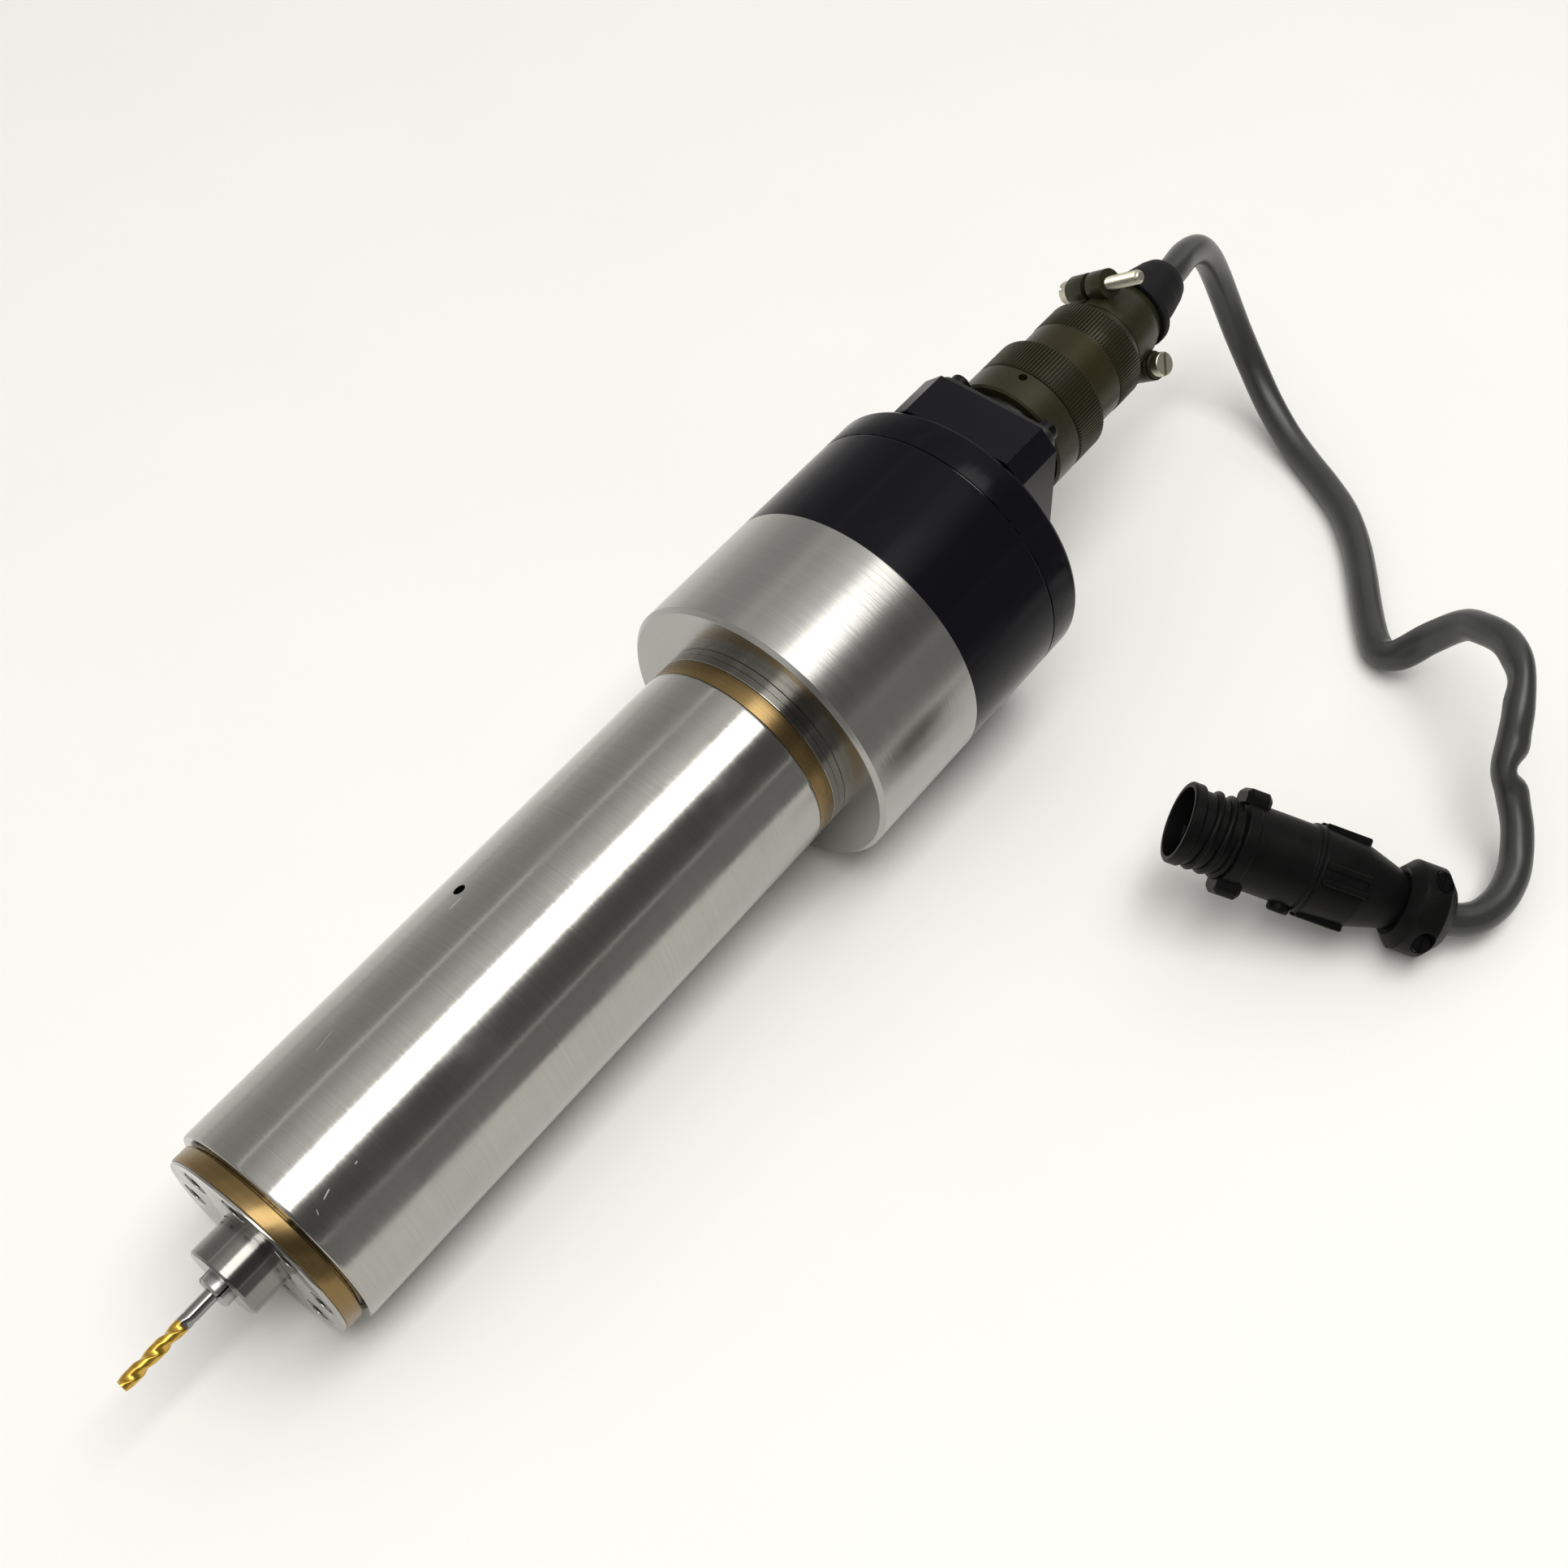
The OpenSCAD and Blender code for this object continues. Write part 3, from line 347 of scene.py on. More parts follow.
# The jacket's own map: metres along the lead, and one turn around it. The last side of a ring ends at 1.
jacket_map = cord_mesh.uv_layers.new(name="jacket")
for face in cord_mesh.polygons:
    corners = [divmod(cord_mesh.loops[k].vertex_index, cord_sides) for k in face.loop_indices]
    closing = any(side == cord_sides - 1 for ring, side in corners)
    for k, (ring, side) in zip(face.loop_indices, corners):
        around = cord_sides if closing and side == 0 else side
        jacket_map.data[k].uv = (cord_lengths[ring], around / cord_sides)

pvc = Finish("grey_pvc", {"Specular IOR Level": 0.5})
jacket_place = pvc.node("ShaderNodeUVMap", {"uv_map": "jacket"})
drawn = pvc.noise(pvc.scaled(jacket_place, (60, 26, 1)), 3, 0.6)
smudge = pvc.pattern(110, 3)
fine = pvc.pattern(2600)
pvc.tinted(smudge * 0.7 + drawn * 0.3, (0.0215, 0.0230, 0.0222), (0.042, 0.0438, 0.0418))
pvc.rough(0.22 + smudge * 0.16 + drawn * 0.06)
pvc.relief(drawn * 0.6 + fine * 0.4, 4e-5)
lead = fitted("lead", cord_mesh, pvc, "housing", "cable")

# The free plug on the lead's end: a moulded black nylon shell with a threaded mouth and a square flange,
# a backshell with gripping bars screwed on behind it, and a clamp of two halves on the jacket.


def smoothed(mesh):
    """The same mesh, smooth but for the edges where its faces meet at more than 38 degrees."""
    mesh.shade_smooth()
    mesh.set_sharp_from_angle(angle=math.radians(38))
    return mesh


def eased(corners, radius):
    """An outline whose corners are rounded, with a point held close to each end of a rounding."""
    cuts = 3
    nearly_straight = math.radians(174)
    points = []
    for i, corner in enumerate(corners):
        here = Vector(corner[:2])
        before = Vector(corners[i - 1][:2]) - here
        after = Vector(corners[(i + 1) % len(corners)][:2]) - here
        shorter = min(before.length, after.length)
        if here.y < 1e-6 or shorter < 1e-6 or before.angle(after) > nearly_straight:
            points.append(tuple(here))
            continue
        a, b = before.normalized(), after.normalized()
        wanted = corner[2] if len(corner) > 2 else radius
        cut = min(wanted / math.tan(a.angle(b) / 2), 0.42 * shorter)
        hold = min(0.15, 0.06 * shorter)
        points.append(tuple(here + a * (cut + hold)))
        for k in range(cuts + 1):
            u = k / cuts
            points.append(tuple(here + a * cut * (1 - u) ** 2 + b * cut * u * u))
        points.append(tuple(here + b * (cut + hold)))
    return points


class Shape:
    """Points and faces of one piece in millimetres, drawn about the X axis."""

    def __init__(self):
        self.points = []
        self.faces = []

    def add(self, points, faces, move=Matrix.Identity(4)):
        first = len(self.points)
        self.points += [move @ Vector(p) for p in points]
        self.faces += [tuple(first + k for k in face) for face in faces]
        return self

    def turned(self, outline, steps, move=Matrix.Identity(4)):
        """A closed outline of (place, radius) points, turned about the axis."""
        points, rings, faces = [], [], []
        for along, radius in outline:
            if radius < 1e-6:
                rings.append([len(points)] * steps)
                points.append((along, 0, 0))
                continue
            rings.append(list(range(len(points), len(points) + steps)))
            for j in range(steps):
                angle = 2 * math.pi * j / steps
                points.append((along, radius * math.sin(angle), radius * math.cos(angle)))
        for first, second in zip(rings, rings[1:] + rings[:1]):
            for j in range(steps):
                k = (j + 1) % steps
                face = list(dict.fromkeys((first[j], first[k], second[k], second[j])))
                if len(face) > 2:
                    faces.append(face)
        return self.add(points, faces, move)

    def pushed(self, outline, start, end, edge, move=Matrix.Identity(4)):
        """A flat outline of (across, up) points pushed from start to end, its rims broken by edge."""
        count = len(outline)
        points = []
        for along, inset in ((start, edge), (start + edge, 0), (end - edge, 0), (end, edge)):
            for i in range(count):
                here = Vector(outline[i])
                a = (here - Vector(outline[i - 1])).normalized()
                b = (Vector(outline[(i + 1) % count]) - here).normalized()
                inward = Vector((-(a.y + b.y), a.x + b.x)).normalized()
                moved = here + inward / max(0.4, inward.dot(Vector((-a.y, a.x)))) * inset
                points.append((along, moved.x, moved.y))
        return self.add(points, tube_faces(4, count), move)

    def mesh(self, place=Matrix.Identity(4)):
        """The shape as a closed mesh whose faces look outward, moved to its place."""
        made = bpy.data.meshes.new("shape")
        made.from_pydata(self.points, [], self.faces)
        body = bmesh.new()
        body.from_mesh(made)
        bmesh.ops.remove_doubles(body, verts=body.verts, dist=1e-5)
        bmesh.ops.recalc_face_normals(body, faces=body.faces)
        body.to_mesh(made)
        body.free()
        made.transform(place)
        return smoothed(made)


def as_mesh(holder):
    """The mesh that an object's modifiers make of it. The object itself goes."""
    bpy.context.view_layer.update()
    made = bpy.data.meshes.new_from_object(holder.evaluated_get(bpy.context.evaluated_depsgraph_get()))
    bpy.data.objects.remove(holder)
    return made


def broken(node, width, angle=28):
    """A copy of a CAD solid whose edges are broken and whose round faces are smooth."""
    made = frame["nodes"][node].data.copy()
    body = bmesh.new()
    body.from_mesh(made)
    bmesh.ops.remove_doubles(body, verts=body.verts, dist=1e-6)
    bmesh.ops.dissolve_limit(body, angle_limit=math.radians(0.8), verts=body.verts, edges=body.edges)
    body.to_mesh(made)
    body.free()
    made.shade_smooth()
    holder = placed("holder", made)
    bevel = holder.modifiers.new("bevel", "BEVEL")
    bevel.width = width
    bevel.segments = 3
    bevel.limit_method = "ANGLE"
    bevel.angle_limit = math.radians(angle)
    bevel.harden_normals = True
    bevel.use_clamp_overlap = True
    return as_mesh(holder)


def joined(*meshes):
    """One mesh of several, which keep their own points."""
    body = bmesh.new()
    for mesh in meshes:
        body.from_mesh(mesh)
    made = bpy.data.meshes.new("joined")
    body.to_mesh(made)
    body.free()
    return smoothed(made)


class Tree(Nodes):
    """A Geometry Nodes tree with named sizes, which ends in one coated mesh."""

    def __init__(self, name, **sizes):
        group = bpy.data.node_groups.new(name, "GeometryNodeTree")
        super().__init__(group)
        group.interface.new_socket("Geometry", in_out="INPUT", socket_type="NodeSocketGeometry")
        for size, kind in {**sizes, "Finish": "Material"}.items():
            group.interface.new_socket(size, in_out="INPUT", socket_type="NodeSocket" + kind)
        group.interface.new_socket("Geometry", in_out="OUTPUT", socket_type="NodeSocketGeometry")
        self.entry = self.node("NodeGroupInput")

    def given(self, size):
        return self.entry.out(size)

    def ends_in(self, geometry):
        whole = self.node("GeometryNodeRealizeInstances", inputs={"Geometry": geometry})
        coat = {"Geometry": whole, "Material": self.given("Finish")}
        coated_mesh = self.node("GeometryNodeSetMaterial", inputs=coat)
        leave = self.tree.nodes.new("NodeGroupOutput")
        self.join(coated_mesh, leave.inputs[0])

    def grown(self, mesh, finish, **sizes):
        """The plain mesh that the tree makes of this one."""
        holder = placed("holder", mesh)
        modifier = holder.modifiers.new("grown", "NODES")
        modifier.node_group = self.tree
        values = {**sizes, "Finish": finish.material}
        for item in self.tree.interface.items_tree:
            if item.in_out == "INPUT" and item.name in values:
                modifier[item.identifier] = values[item.name]
        return as_mesh(holder)


# A thread: a ridge that winds up a round bar, drawn about Z from 0 up
thread = Tree("thread", Radius="Float", Pitch="Float", Turns="Float", Ridge="Float", Sides="Int")
winding = thread.node(
    "GeometryNodeCurveSpiral",
    inputs={
        "Resolution": 40,
        "Rotations": thread.given("Turns"),
        "Start Radius": thread.given("Radius"),
        "End Radius": thread.given("Radius"),
        "Height": thread.given("Turns") * thread.given("Pitch"),
    },
)
upright = thread.node("GeometryNodeSetCurveNormal", {"mode": "Z_UP"}, {"Curve": winding})
ridge_sizes = {"Resolution": thread.given("Sides"), "Radius": thread.given("Ridge")}
ridge = thread.node("GeometryNodeCurvePrimitiveCircle", inputs=ridge_sizes)
swept = {"Curve": upright, "Profile Curve": ridge, "Fill Caps": True}
thread.ends_in(thread.node("GeometryNodeCurveToMesh", inputs=swept))


def spot(x, y, z):
    return Matrix.Translation((x, y, z))


def turn(degrees, axis):
    return Matrix.Rotation(math.radians(degrees), 4, axis)


def threaded(finish, radius, pitch, turns, ridge_radius, sides, move):
    """A thread's ridge on a bar along X, moved to its place."""
    sizes = {"Radius": radius, "Pitch": pitch, "Turns": turns, "Ridge": ridge_radius, "Sides": sides}
    made = thread.grown(bpy.data.meshes.new("thread"), finish, **sizes)
    made.transform(move @ turn(90, "Y"))
    return made


# How the plug lies: its mouth's centre in millimetres, then the way it heads, its rise and its roll
plug_lay = spot(57.6, -84.5, 27.726) @ turn(-63.5, "Z") @ turn(16.5, "Y") @ turn(37, "X")
millimetres = Matrix.Scale(0.001, 4)
on_plug = millimetres @ plug_lay
plug_at = {"origin": tuple(on_plug.translation), "turn": tuple(plug_lay.to_euler())}

nylon = Finish("black_nylon", {"Specular IOR Level": 0.09}, **plug_at)
moulded = nylon.pattern(2300)
worn = nylon.pattern(150, 4, 0.6)
nylon.tinted(worn, (0.0018, 0.0018, 0.0018), (0.0065, 0.0065, 0.0065))
nylon.rough(0.3 + worn * 0.2)
nylon.relief(moulded * 0.7 + worn * 0.3, 3e-5)

mouth_r = 8.2
shell_r = 9.9
shell_end = 31
shell = Shape().turned(
    eased(
        [
            (0, mouth_r), (0, 9.2, 0.4), (0.4, 9.6), (2.7, 9.6), (3.2, 8.65), (12.2, 8.65), (12.8, 10.2),
            (15.6, 10.2), (15.8, shell_r), (29.8, shell_r), (30.3, 10.45), (shell_end, 10.45),
            (shell_end, mouth_r),
        ],
        0.25,
    ),
    144,
)
ear = eased([(4.6, 8), (4.6, 11.2), (3.2, 12.5), (-3.2, 12.5), (-4.6, 11.2), (-4.6, 8)], 1.2)
for side in (90, 270):
    shell.pushed(ear, 11.8, 17.8, 1.0, turn(side, "X"))
lug = eased([(-2, 0), (-2, 2.6), (1.8, 2.6, 0.9), (1.8, 0)], 0.5)
shell.turned(lug, 40, spot(28.2, 0, 0) @ turn(90, "X") @ spot(0, 0, shell_r) @ turn(-90, "Y"))
mouth_thread = threaded(nylon, 8.7, 3.1, 2.5, 0.88, 10, on_plug @ spot(4.4, 0, 0))
shell_mesh = joined(shell.mesh(on_plug), mouth_thread)
plug_shell = fitted("plug_shell", shell_mesh, nylon, "housing", "free_shell")

back = Shape().turned(
    eased(
        [
            (31.05, 8.5), (31.05, 9.9), (31.8, 10.4), (42.5, 9.9, 2.5), (51.3, 7.3, 1.0), (53, 6.8),
            (56, 6.5), (56, 4.1), (42, 4.1), (42, 8.5),
        ],
        0.3,
    ),
    144,
)
bar = [(2.5, 8.9), (2.5, 10.55), (-2.5, 10.55), (-2.5, 8.9)]
for quarter in range(4):
    round_to = turn(90 * quarter, "X")
    back.pushed(bar, 32, 42.4, 0.4, round_to)
    for middle in (-1.85, 1.85):
        left, right = middle - 0.75, middle + 0.75
        rib = eased([(right, 9), (right, 11.1), (left, 11.1), (left, 9)], 0.35)
        back.pushed(rib, 31.9, 43, 0.4, round_to)
back_mesh = back.mesh(on_plug)
plug_back = fitted("plug_backshell", back_mesh, nylon, "housing", "free_backshell")
clamp_mesh = broken("free_clamp", 0.0012)
plug_clamp = fitted("plug_clamp", clamp_mesh, nylon, "housing", "free_clamp")

# The spindle's own axis, from the front face of its body (0) back along +X. The record gives the line that
# the rotor turns about, at 70 mm behind that face; everything turned is measured from it in millimetres.
spin = next(joint for joint in frame["joints"] if joint["name"] == "rotor_spin")
aft = Vector(spin["axis"]).normalized()
front = Vector(spin["pos_m"]) - aft * 0.070
tilt = math.atan2(aft.z, aft.x)
on_spindle = Matrix.Translation(front) @ Matrix.Rotation(-tilt, 4, "Y") @ millimetres
on_connector = on_spindle @ spot(0, 0, 15)
spindle_at = {"origin": tuple(front), "turn": (0, -tilt, 0)}
connector_at = {"origin": tuple(on_connector.translation), "turn": (0, -tilt, 0)}


def machined(name, dark, light, roughness, lines=2400, depth=2e-5, at=spindle_at, waves=(420, 75)):
    """Bare turned or ground metal: fine rings round the axis, on cylinders and on faces alike.

    It has so many lines to a metre and a shallow waviness, with its waves along the profile and around.
    """
    finish = Finish(name, {"Metallic": 1.0}, **at)
    cut = finish.rings(lines, 22)
    wave = finish.rings(*waves)
    haze = finish.pattern((30, 55, 55), 3)
    finish.tinted(haze * 0.55 + cut * 0.45, dark, light)
    finish.rough(roughness - 0.05 + cut * 0.04 + haze * 0.06)
    finish.relief(cut * 0.15 + wave * 0.85, depth)
    return finish


# The body sleeve: stainless tube 50.8 mm across, ground all over, with both rims broken and one 2.8 mm air
# feed hole drilled through its wall. The bearings are shrunk into it.


def cut_out(mesh, tool_mesh):
    """The mesh without what the tool takes out of it."""
    holder = placed("holder", mesh)
    tool = placed("tool", tool_mesh)
    cut = holder.modifiers.new("cut", "BOOLEAN")
    cut.object = tool
    cut.solver = "EXACT"
    made = as_mesh(holder)
    bpy.data.objects.remove(tool)
    return smoothed(made)


steel = machined(
    "ground_steel", (0.315, 0.307, 0.289), (0.45, 0.44, 0.418), 0.15, depth=5e-5, waves=(1100, 130)
)
# Each scratch: its place and angle on the sleeve, its length, its lean from the axis and its width
scratches = [
    (0.0674, 65.0, 0.0040, 0, 0.00050),
    (0.0291, 69.2, 0.0060, -11, 0.00016),
    (0.0075, 121.7, 0.0026, -17, 0.00030),
    (0.0041, 124.3, 0.0014, 116, 0.00024),
    (0.0154, 121.4, 0.0009, -15, 0.00024),
]
sleeve_radius = 0.0254
around_sleeve = steel.maths("ARCTAN2", steel.up, steel.across) * sleeve_radius
scratched = 0
for place, angle, length, lean, width in scratches:
    forth = steel.along - place
    off = around_sleeve - math.radians(angle) * sleeve_radius
    cosine, sine = math.cos(math.radians(lean)), math.sin(math.radians(lean))
    from_middle = steel.maths("ABSOLUTE", forth * cosine + off * sine)
    from_line = steel.maths("ABSOLUTE", off * cosine - forth * sine)
    within = 1 - steel.step(from_middle, length * 0.3, length * 0.5)
    beside = 1 - steel.step(from_line, width * 0.3, width * 0.6)
    scratched += within * beside * 0.6
smeared = steel.step(steel.pattern((38, 60, 60), 3, 0.6), 0.47, 0.66)
steel.rough(steel.so_far("Roughness") + smeared * 0.07 + scratched * 0.35)
steel.coloured(steel.mixed(scratched, steel.so_far("Base Color"), (0.75, 0.74, 0.72, 1)))
# The inner edge of the front rim is a plain bevel, so the first half of its rounding is left out
front_rim = [(0.3, 22), (0, 22.3)] + eased([(0, 22.3), (0, 25.1), (0.3, 25.4)], 0.08)[3:]
outside = [(along, 25.4) for along in (0.8, 40, 67, 69, 70.6, 72.2, 74, 110, 139.0, 139.5)]
rear_rim = [(139.65, 25.34), (139.8, 25.1), (139.8, 22.3), (139.5, 22)]
sleeve = Shape().turned(front_rim + outside + rear_rim, 192)
into_wall = spot(70.6, 0, 0) @ turn(-31, "X") @ turn(-90, "Y")
air_hole = Shape().turned([(15, 0), (15, 1.4), (30, 1.4), (30, 0)], 48, into_wall)
sleeve_mesh = cut_out(sleeve.mesh(on_spindle), air_hole.mesh(on_spindle))
fitted("ground_sleeve", sleeve_mesh, steel, "housing", "body_sleeve")

# The front end: a brass ring closes the front bearing behind a thin steel face plate, and eight M3 socket
# screws, sunk through both, pull it onto the bearing. A dark groove is left in front of the body.
brass = machined("turned_brass", (0.15, 0.10, 0.0405), (0.30, 0.207, 0.0915), 0.27, lines=1900, depth=5e-5)
fitted("brass_front_ring", broken("front_ring", 0.00022), brass, "housing", "front_ring")
fitted("face_plate", broken("front_plate", 0.00012), steel, "housing", "front_plate")

black_steel = machined("black_oxide", (0.012, 0.012, 0.013), (0.035, 0.035, 0.036), 0.34)


def socket_screw(d, head_d, length):
    """A socket head cap screw whose seat is at 0 and whose shank points along +X."""
    head = [(-d, 0), (-d, head_d / 2, d * 0.12), (0, head_d / 2)]
    shank = [(0, d / 2), (length, d / 2), (length, 0)]
    bolt = Shape().turned(eased(head + shank, 0.1), 40)
    corner = d * 0.47
    sixths = [math.radians(60 * k) for k in reversed(range(6))]
    hexagon = [(corner * math.sin(angle), corner * math.cos(angle)) for angle in sixths]
    key = Shape().pushed(hexagon, -d - 1, -d * 0.4, 0.01)
    return cut_out(bolt.mesh(), key.mesh())


# Copies of one piece round the X axis
circle_of = Tree("circle_of", Count="Int", First="Float")
number = circle_of.node("GeometryNodeInputIndex")
angle_of_copy = number * (2 * math.pi) / circle_of.given("Count") + circle_of.given("First")
about_x = circle_of.node("ShaderNodeCombineXYZ", inputs={"X": angle_of_copy})
copies = circle_of.node(
    "GeometryNodeInstanceOnPoints",
    inputs={
        "Points": circle_of.node("GeometryNodePoints", inputs={"Count": circle_of.given("Count")}),
        "Instance": circle_of.given("Geometry"),
        "Rotation": circle_of.node("FunctionNodeEulerToRotation", inputs={0: about_x}),
    },
)
circle_of.ends_in(copies)


def ring_of(mesh, finish, count, first, place):
    """So many copies of a piece round the axis, the first at so many degrees, moved to their place."""
    made = circle_of.grown(mesh, finish, Count=count, First=math.radians(first))
    made.transform(place)
    return smoothed(made)


front_screw = socket_screw(3, 5.5, 11.4)
front_screw.transform(spot(-2.1, 0, 18))
front_screws = ring_of(front_screw, black_steel, 8, 0, on_spindle)
fitted("front_cap_screws", front_screws, black_steel, "housing", "front_screws")

# The rotor: one ground steel shaft with its nose, two journals and the thrust runner. The collet closes on
# the cutter in the nose's taper; it is turned tool steel with four slots.
shaft_steel = machined("shaft_steel", (0.165, 0.161, 0.151), (0.255, 0.249, 0.235), 0.15, depth=3e-5)
shaft = Shape().turned(
    eased(
        [
            (-14.5, 3.87), (-14.5, 8.3), (-14.0, 8.75), (1.6, 8.75), (1.6, 13.5), (139.82, 13.5),
            (139.82, 20), (144.28, 20), (144.28, 10), (149.1, 10), (149.1, 9), (187, 9), (187, 5.05),
            (60, 5.05), (60, 3.02), (-9.5, 3.02),
        ],
        0.12,
    ),
    128,
)
shaft_mesh = shaft.mesh(on_spindle)
fitted("rotor_shaft_ground", shaft_mesh, shaft_steel, "rotor", "rotor_shaft")
tool_steel = machined("tool_steel", (0.30, 0.30, 0.30), (0.44, 0.435, 0.43), 0.3, lines=3000)
fitted("slotted_collet", broken("collet", 0.00016), tool_steel, "draw", "collet")

# The cutter: a 3.175 mm carbide end mill with two right hand flutes. Its flutes have a gold coloured hard
# coating; the grinding runs out in front of the bare shank.
fluting = Tree("fluting", Length="Float", Lead="Float", Radius="Float", Runout="Float", Steps="Int")
tip_to_end = fluting.node("ShaderNodeCombineXYZ", inputs={"Z": fluting.given("Length")})
stem = fluting.node("GeometryNodeCurvePrimitiveLine", inputs={"End": tip_to_end})
stepped = {"Curve": stem, "Count": fluting.given("Steps")}
steps = fluting.node("GeometryNodeResampleCurve", inputs=stepped)
section = fluting.node("GeometryNodeMeshToCurve", inputs={"Mesh": fluting.given("Geometry")})
swept = {"Curve": steps, "Profile Curve": section, "Fill Caps": True}
blank = fluting.node("GeometryNodeCurveToMesh", inputs=swept)
spots = fluting.node("ShaderNodeSeparateXYZ", inputs={0: fluting.node("GeometryNodeInputPosition")})
across, up, onward = spots.out("X"), spots.out("Y"), spots.out("Z")
from_axis = fluting.maths("SQRT", across * across + up * up)
run_out = fluting.step(onward, fluting.given("Length") - fluting.given("Runout"), fluting.given("Length"))
swell = 1 + run_out * (fluting.given("Radius") / from_axis - 1)
filled = fluting.node("ShaderNodeCombineXYZ", inputs={"X": across * swell, "Y": up * swell, "Z": onward})
wound = fluting.node(
    "ShaderNodeVectorRotate",
    {"rotation_type": "Z_AXIS"},
    {"Vector": filled, "Angle": onward * (2 * math.pi) / fluting.given("Lead")},
)
fluting.ends_in(fluting.node("GeometryNodeSetPosition", inputs={"Geometry": blank, "Position": wound}))

# Its section, one half after the other: the land, its relief, the flute's hollow and the wall up again
cutter_r = 1.5875
section_steps = 72
section_points = []
for k in range(section_steps):
    around = 2 * k / section_steps % 1
    if around < 0.38:
        level = 1 - 0.08 * around
    elif around < 0.56:
        level = 0.97 - 0.15 * (around - 0.38) / 0.18
    elif around < 0.9:
        level = 0.82 - 0.1 * math.sin(math.pi * (around - 0.56) / 0.34)
    else:
        level = 0.82 + 0.18 * ((around - 0.9) / 0.1) ** 0.7
    angle = 2 * math.pi * k / section_steps
    section_points.append((cutter_r * level * math.cos(angle), cutter_r * level * math.sin(angle), 0))
section_edges = [(k, (k + 1) % section_steps) for k in range(section_steps)]
section_mesh = bpy.data.meshes.new("section")
section_mesh.from_pydata(section_points, section_edges, [])

coating = Finish("gold_coating", {"Metallic": 1.0}, **spindle_at)
grind = coating.pattern((1500, 900, 900), 3)
bare = coating.step(coating.along + (grind - 0.5) * 0.0008, -0.0252, -0.0243)
gold = coating.mixed(grind, (0.40, 0.235, 0.035, 1), (0.72, 0.47, 0.09, 1))
coating.coloured(coating.mixed(bare, gold, (0.27, 0.265, 0.255, 1)))
coating.rough(0.22 + grind * 0.12 - bare * 0.16)
coating.relief(grind, 6e-6)
flutes = fluting.grown(section_mesh, coating, Length=18.0, Lead=12.1, Radius=cutter_r, Runout=3.2, Steps=90)
flutes.transform(on_spindle @ spot(-39.9, 0, 0) @ turn(90, "Y"))
shank = Shape().turned(eased([(-21.95, 0), (-21.95, cutter_r), (-1.8, cutter_r), (-1.8, 0)], 0.05), 48)
cutter_mesh = joined(flutes, shank.mesh(on_spindle))
fitted("end_mill", cutter_mesh, coating, "draw", "cutter")

# The thrust section: a brass spacer ring as wide as the runner and, behind it, a polished steel thrust plate,
# both 50.8 mm across. Six long screws through them hold the body to the motor housing.
spacer = Shape().turned(eased([(139.8, 21), (139.8, 25.35), (144.28, 25.35), (144.28, 21)], 0.12), 192)
fitted("brass_spacer", spacer.mesh(on_spindle), brass, "housing", "spacer_ring")
polished = machined("polished_steel", (0.245, 0.238, 0.219), (0.30, 0.291, 0.268), 0.11, depth=5e-7)
plate = Shape().turned(
    eased(
        [
            (144.34, 10.2), (144.34, 25.38), (146.2, 25.38, 0.03), (146.28, 25.1, 0.02),
            (146.36, 25.38, 0.03), (148.08, 25.38), (148.08, 10.2),
        ],
        0.15,
    ),
    192,
)
plate_mesh = plate.mesh(on_spindle)
fitted("thrust_plate_ground", plate_mesh, polished, "housing", "thrust_plate")

# The motor housing: a bright turned aluminium cup 72.4 mm across with a chamfered front rim. The stator is
# bonded into it, and the black rear housing is screwed to its back.
bright_tones = (0.325, 0.322, 0.307), (0.435, 0.431, 0.412)
aluminium = machined("bright_aluminium", *bright_tones, 0.245, lines=1700, waves=(1400, 40))
cup = Shape().turned(
    eased(
        [
            (148.1, 12), (148.1, 35.18), (149.1, 36.18), (182.78, 36.18), (182.78, 31), (152.1, 31),
            (152.1, 12),
        ],
        0.1,
    ),
    224,
)
cup_mesh = cup.mesh(on_spindle)
fitted("motor_cup", cup_mesh, aluminium, "housing", "motor_housing")


def coated(name, dark, light, roughness, specular, at, metallic=0.0):
    """A satin coat on turned metal: faint rings under it, a fine even grain and a little dust."""
    finish = Finish(name, {"Specular IOR Level": specular, "Metallic": metallic}, **at)
    cut = finish.rings(1300, 18)
    grain = finish.pattern(3200)
    dust = finish.pattern(90, 4, 0.62)
    finish.tinted(dust * 0.7 + cut * 0.3, dark, light)
    finish.rough(roughness - 0.08 + dust * 0.12 + cut * 0.04)
    finish.relief(grain * 0.6 + cut * 0.4, 1.5e-5)
    return finish


# The rear housing, the rear cover and the terminal block: aluminium with a satin black anodised coat. The
# release cylinder is bored in the housing, six M4 screws hold the cover, and the block takes the wires.
black_tones = (0.0036, 0.0037, 0.0062), (0.0068, 0.0069, 0.0098)
anodised = coated("black_anodised", *black_tones, 0.18, 0.08, spindle_at)
# A painted highlight: a thin light line on the housing's rear rim, where it stands a little proud of the
# cover, drawn only over the angles at which the ceiling light's reflection falls on it
rim = anodised.between(anodised.along, (0.2126, 0.21275), (0.2129, 0.2130))
rim_angle = anodised.maths("ARCTAN2", anodised.up, anodised.across)
painted_rim_glint = rim * anodised.between(rim_angle, (1.72, 1.84), (1.93, 2.03)) * 0.8
anodised.coloured(anodised.mixed(painted_rim_glint, anodised.so_far("Base Color"), (0.6, 0.6, 0.6, 1)))
block_black = coated("black_block", (0.003, 0.003, 0.0052), (0.0062, 0.0062, 0.0088), 0.3, 0.14, spindle_at)
rear = Shape().turned(
    eased(
        [
            (182.82, 31), (182.82, 36.18), (212.9, 36.18, 0.4), (212.9, 22), (194.2, 22), (194.2, 5.1),
            (190.2, 5.1), (190.2, 31),
        ],
        0.12,
    ),
    224,
)
rear_mesh = rear.mesh(on_spindle)
cover_mesh = broken("rear_cover", 0.00025, 22)
block_mesh = broken("terminal_block", 0.0005)
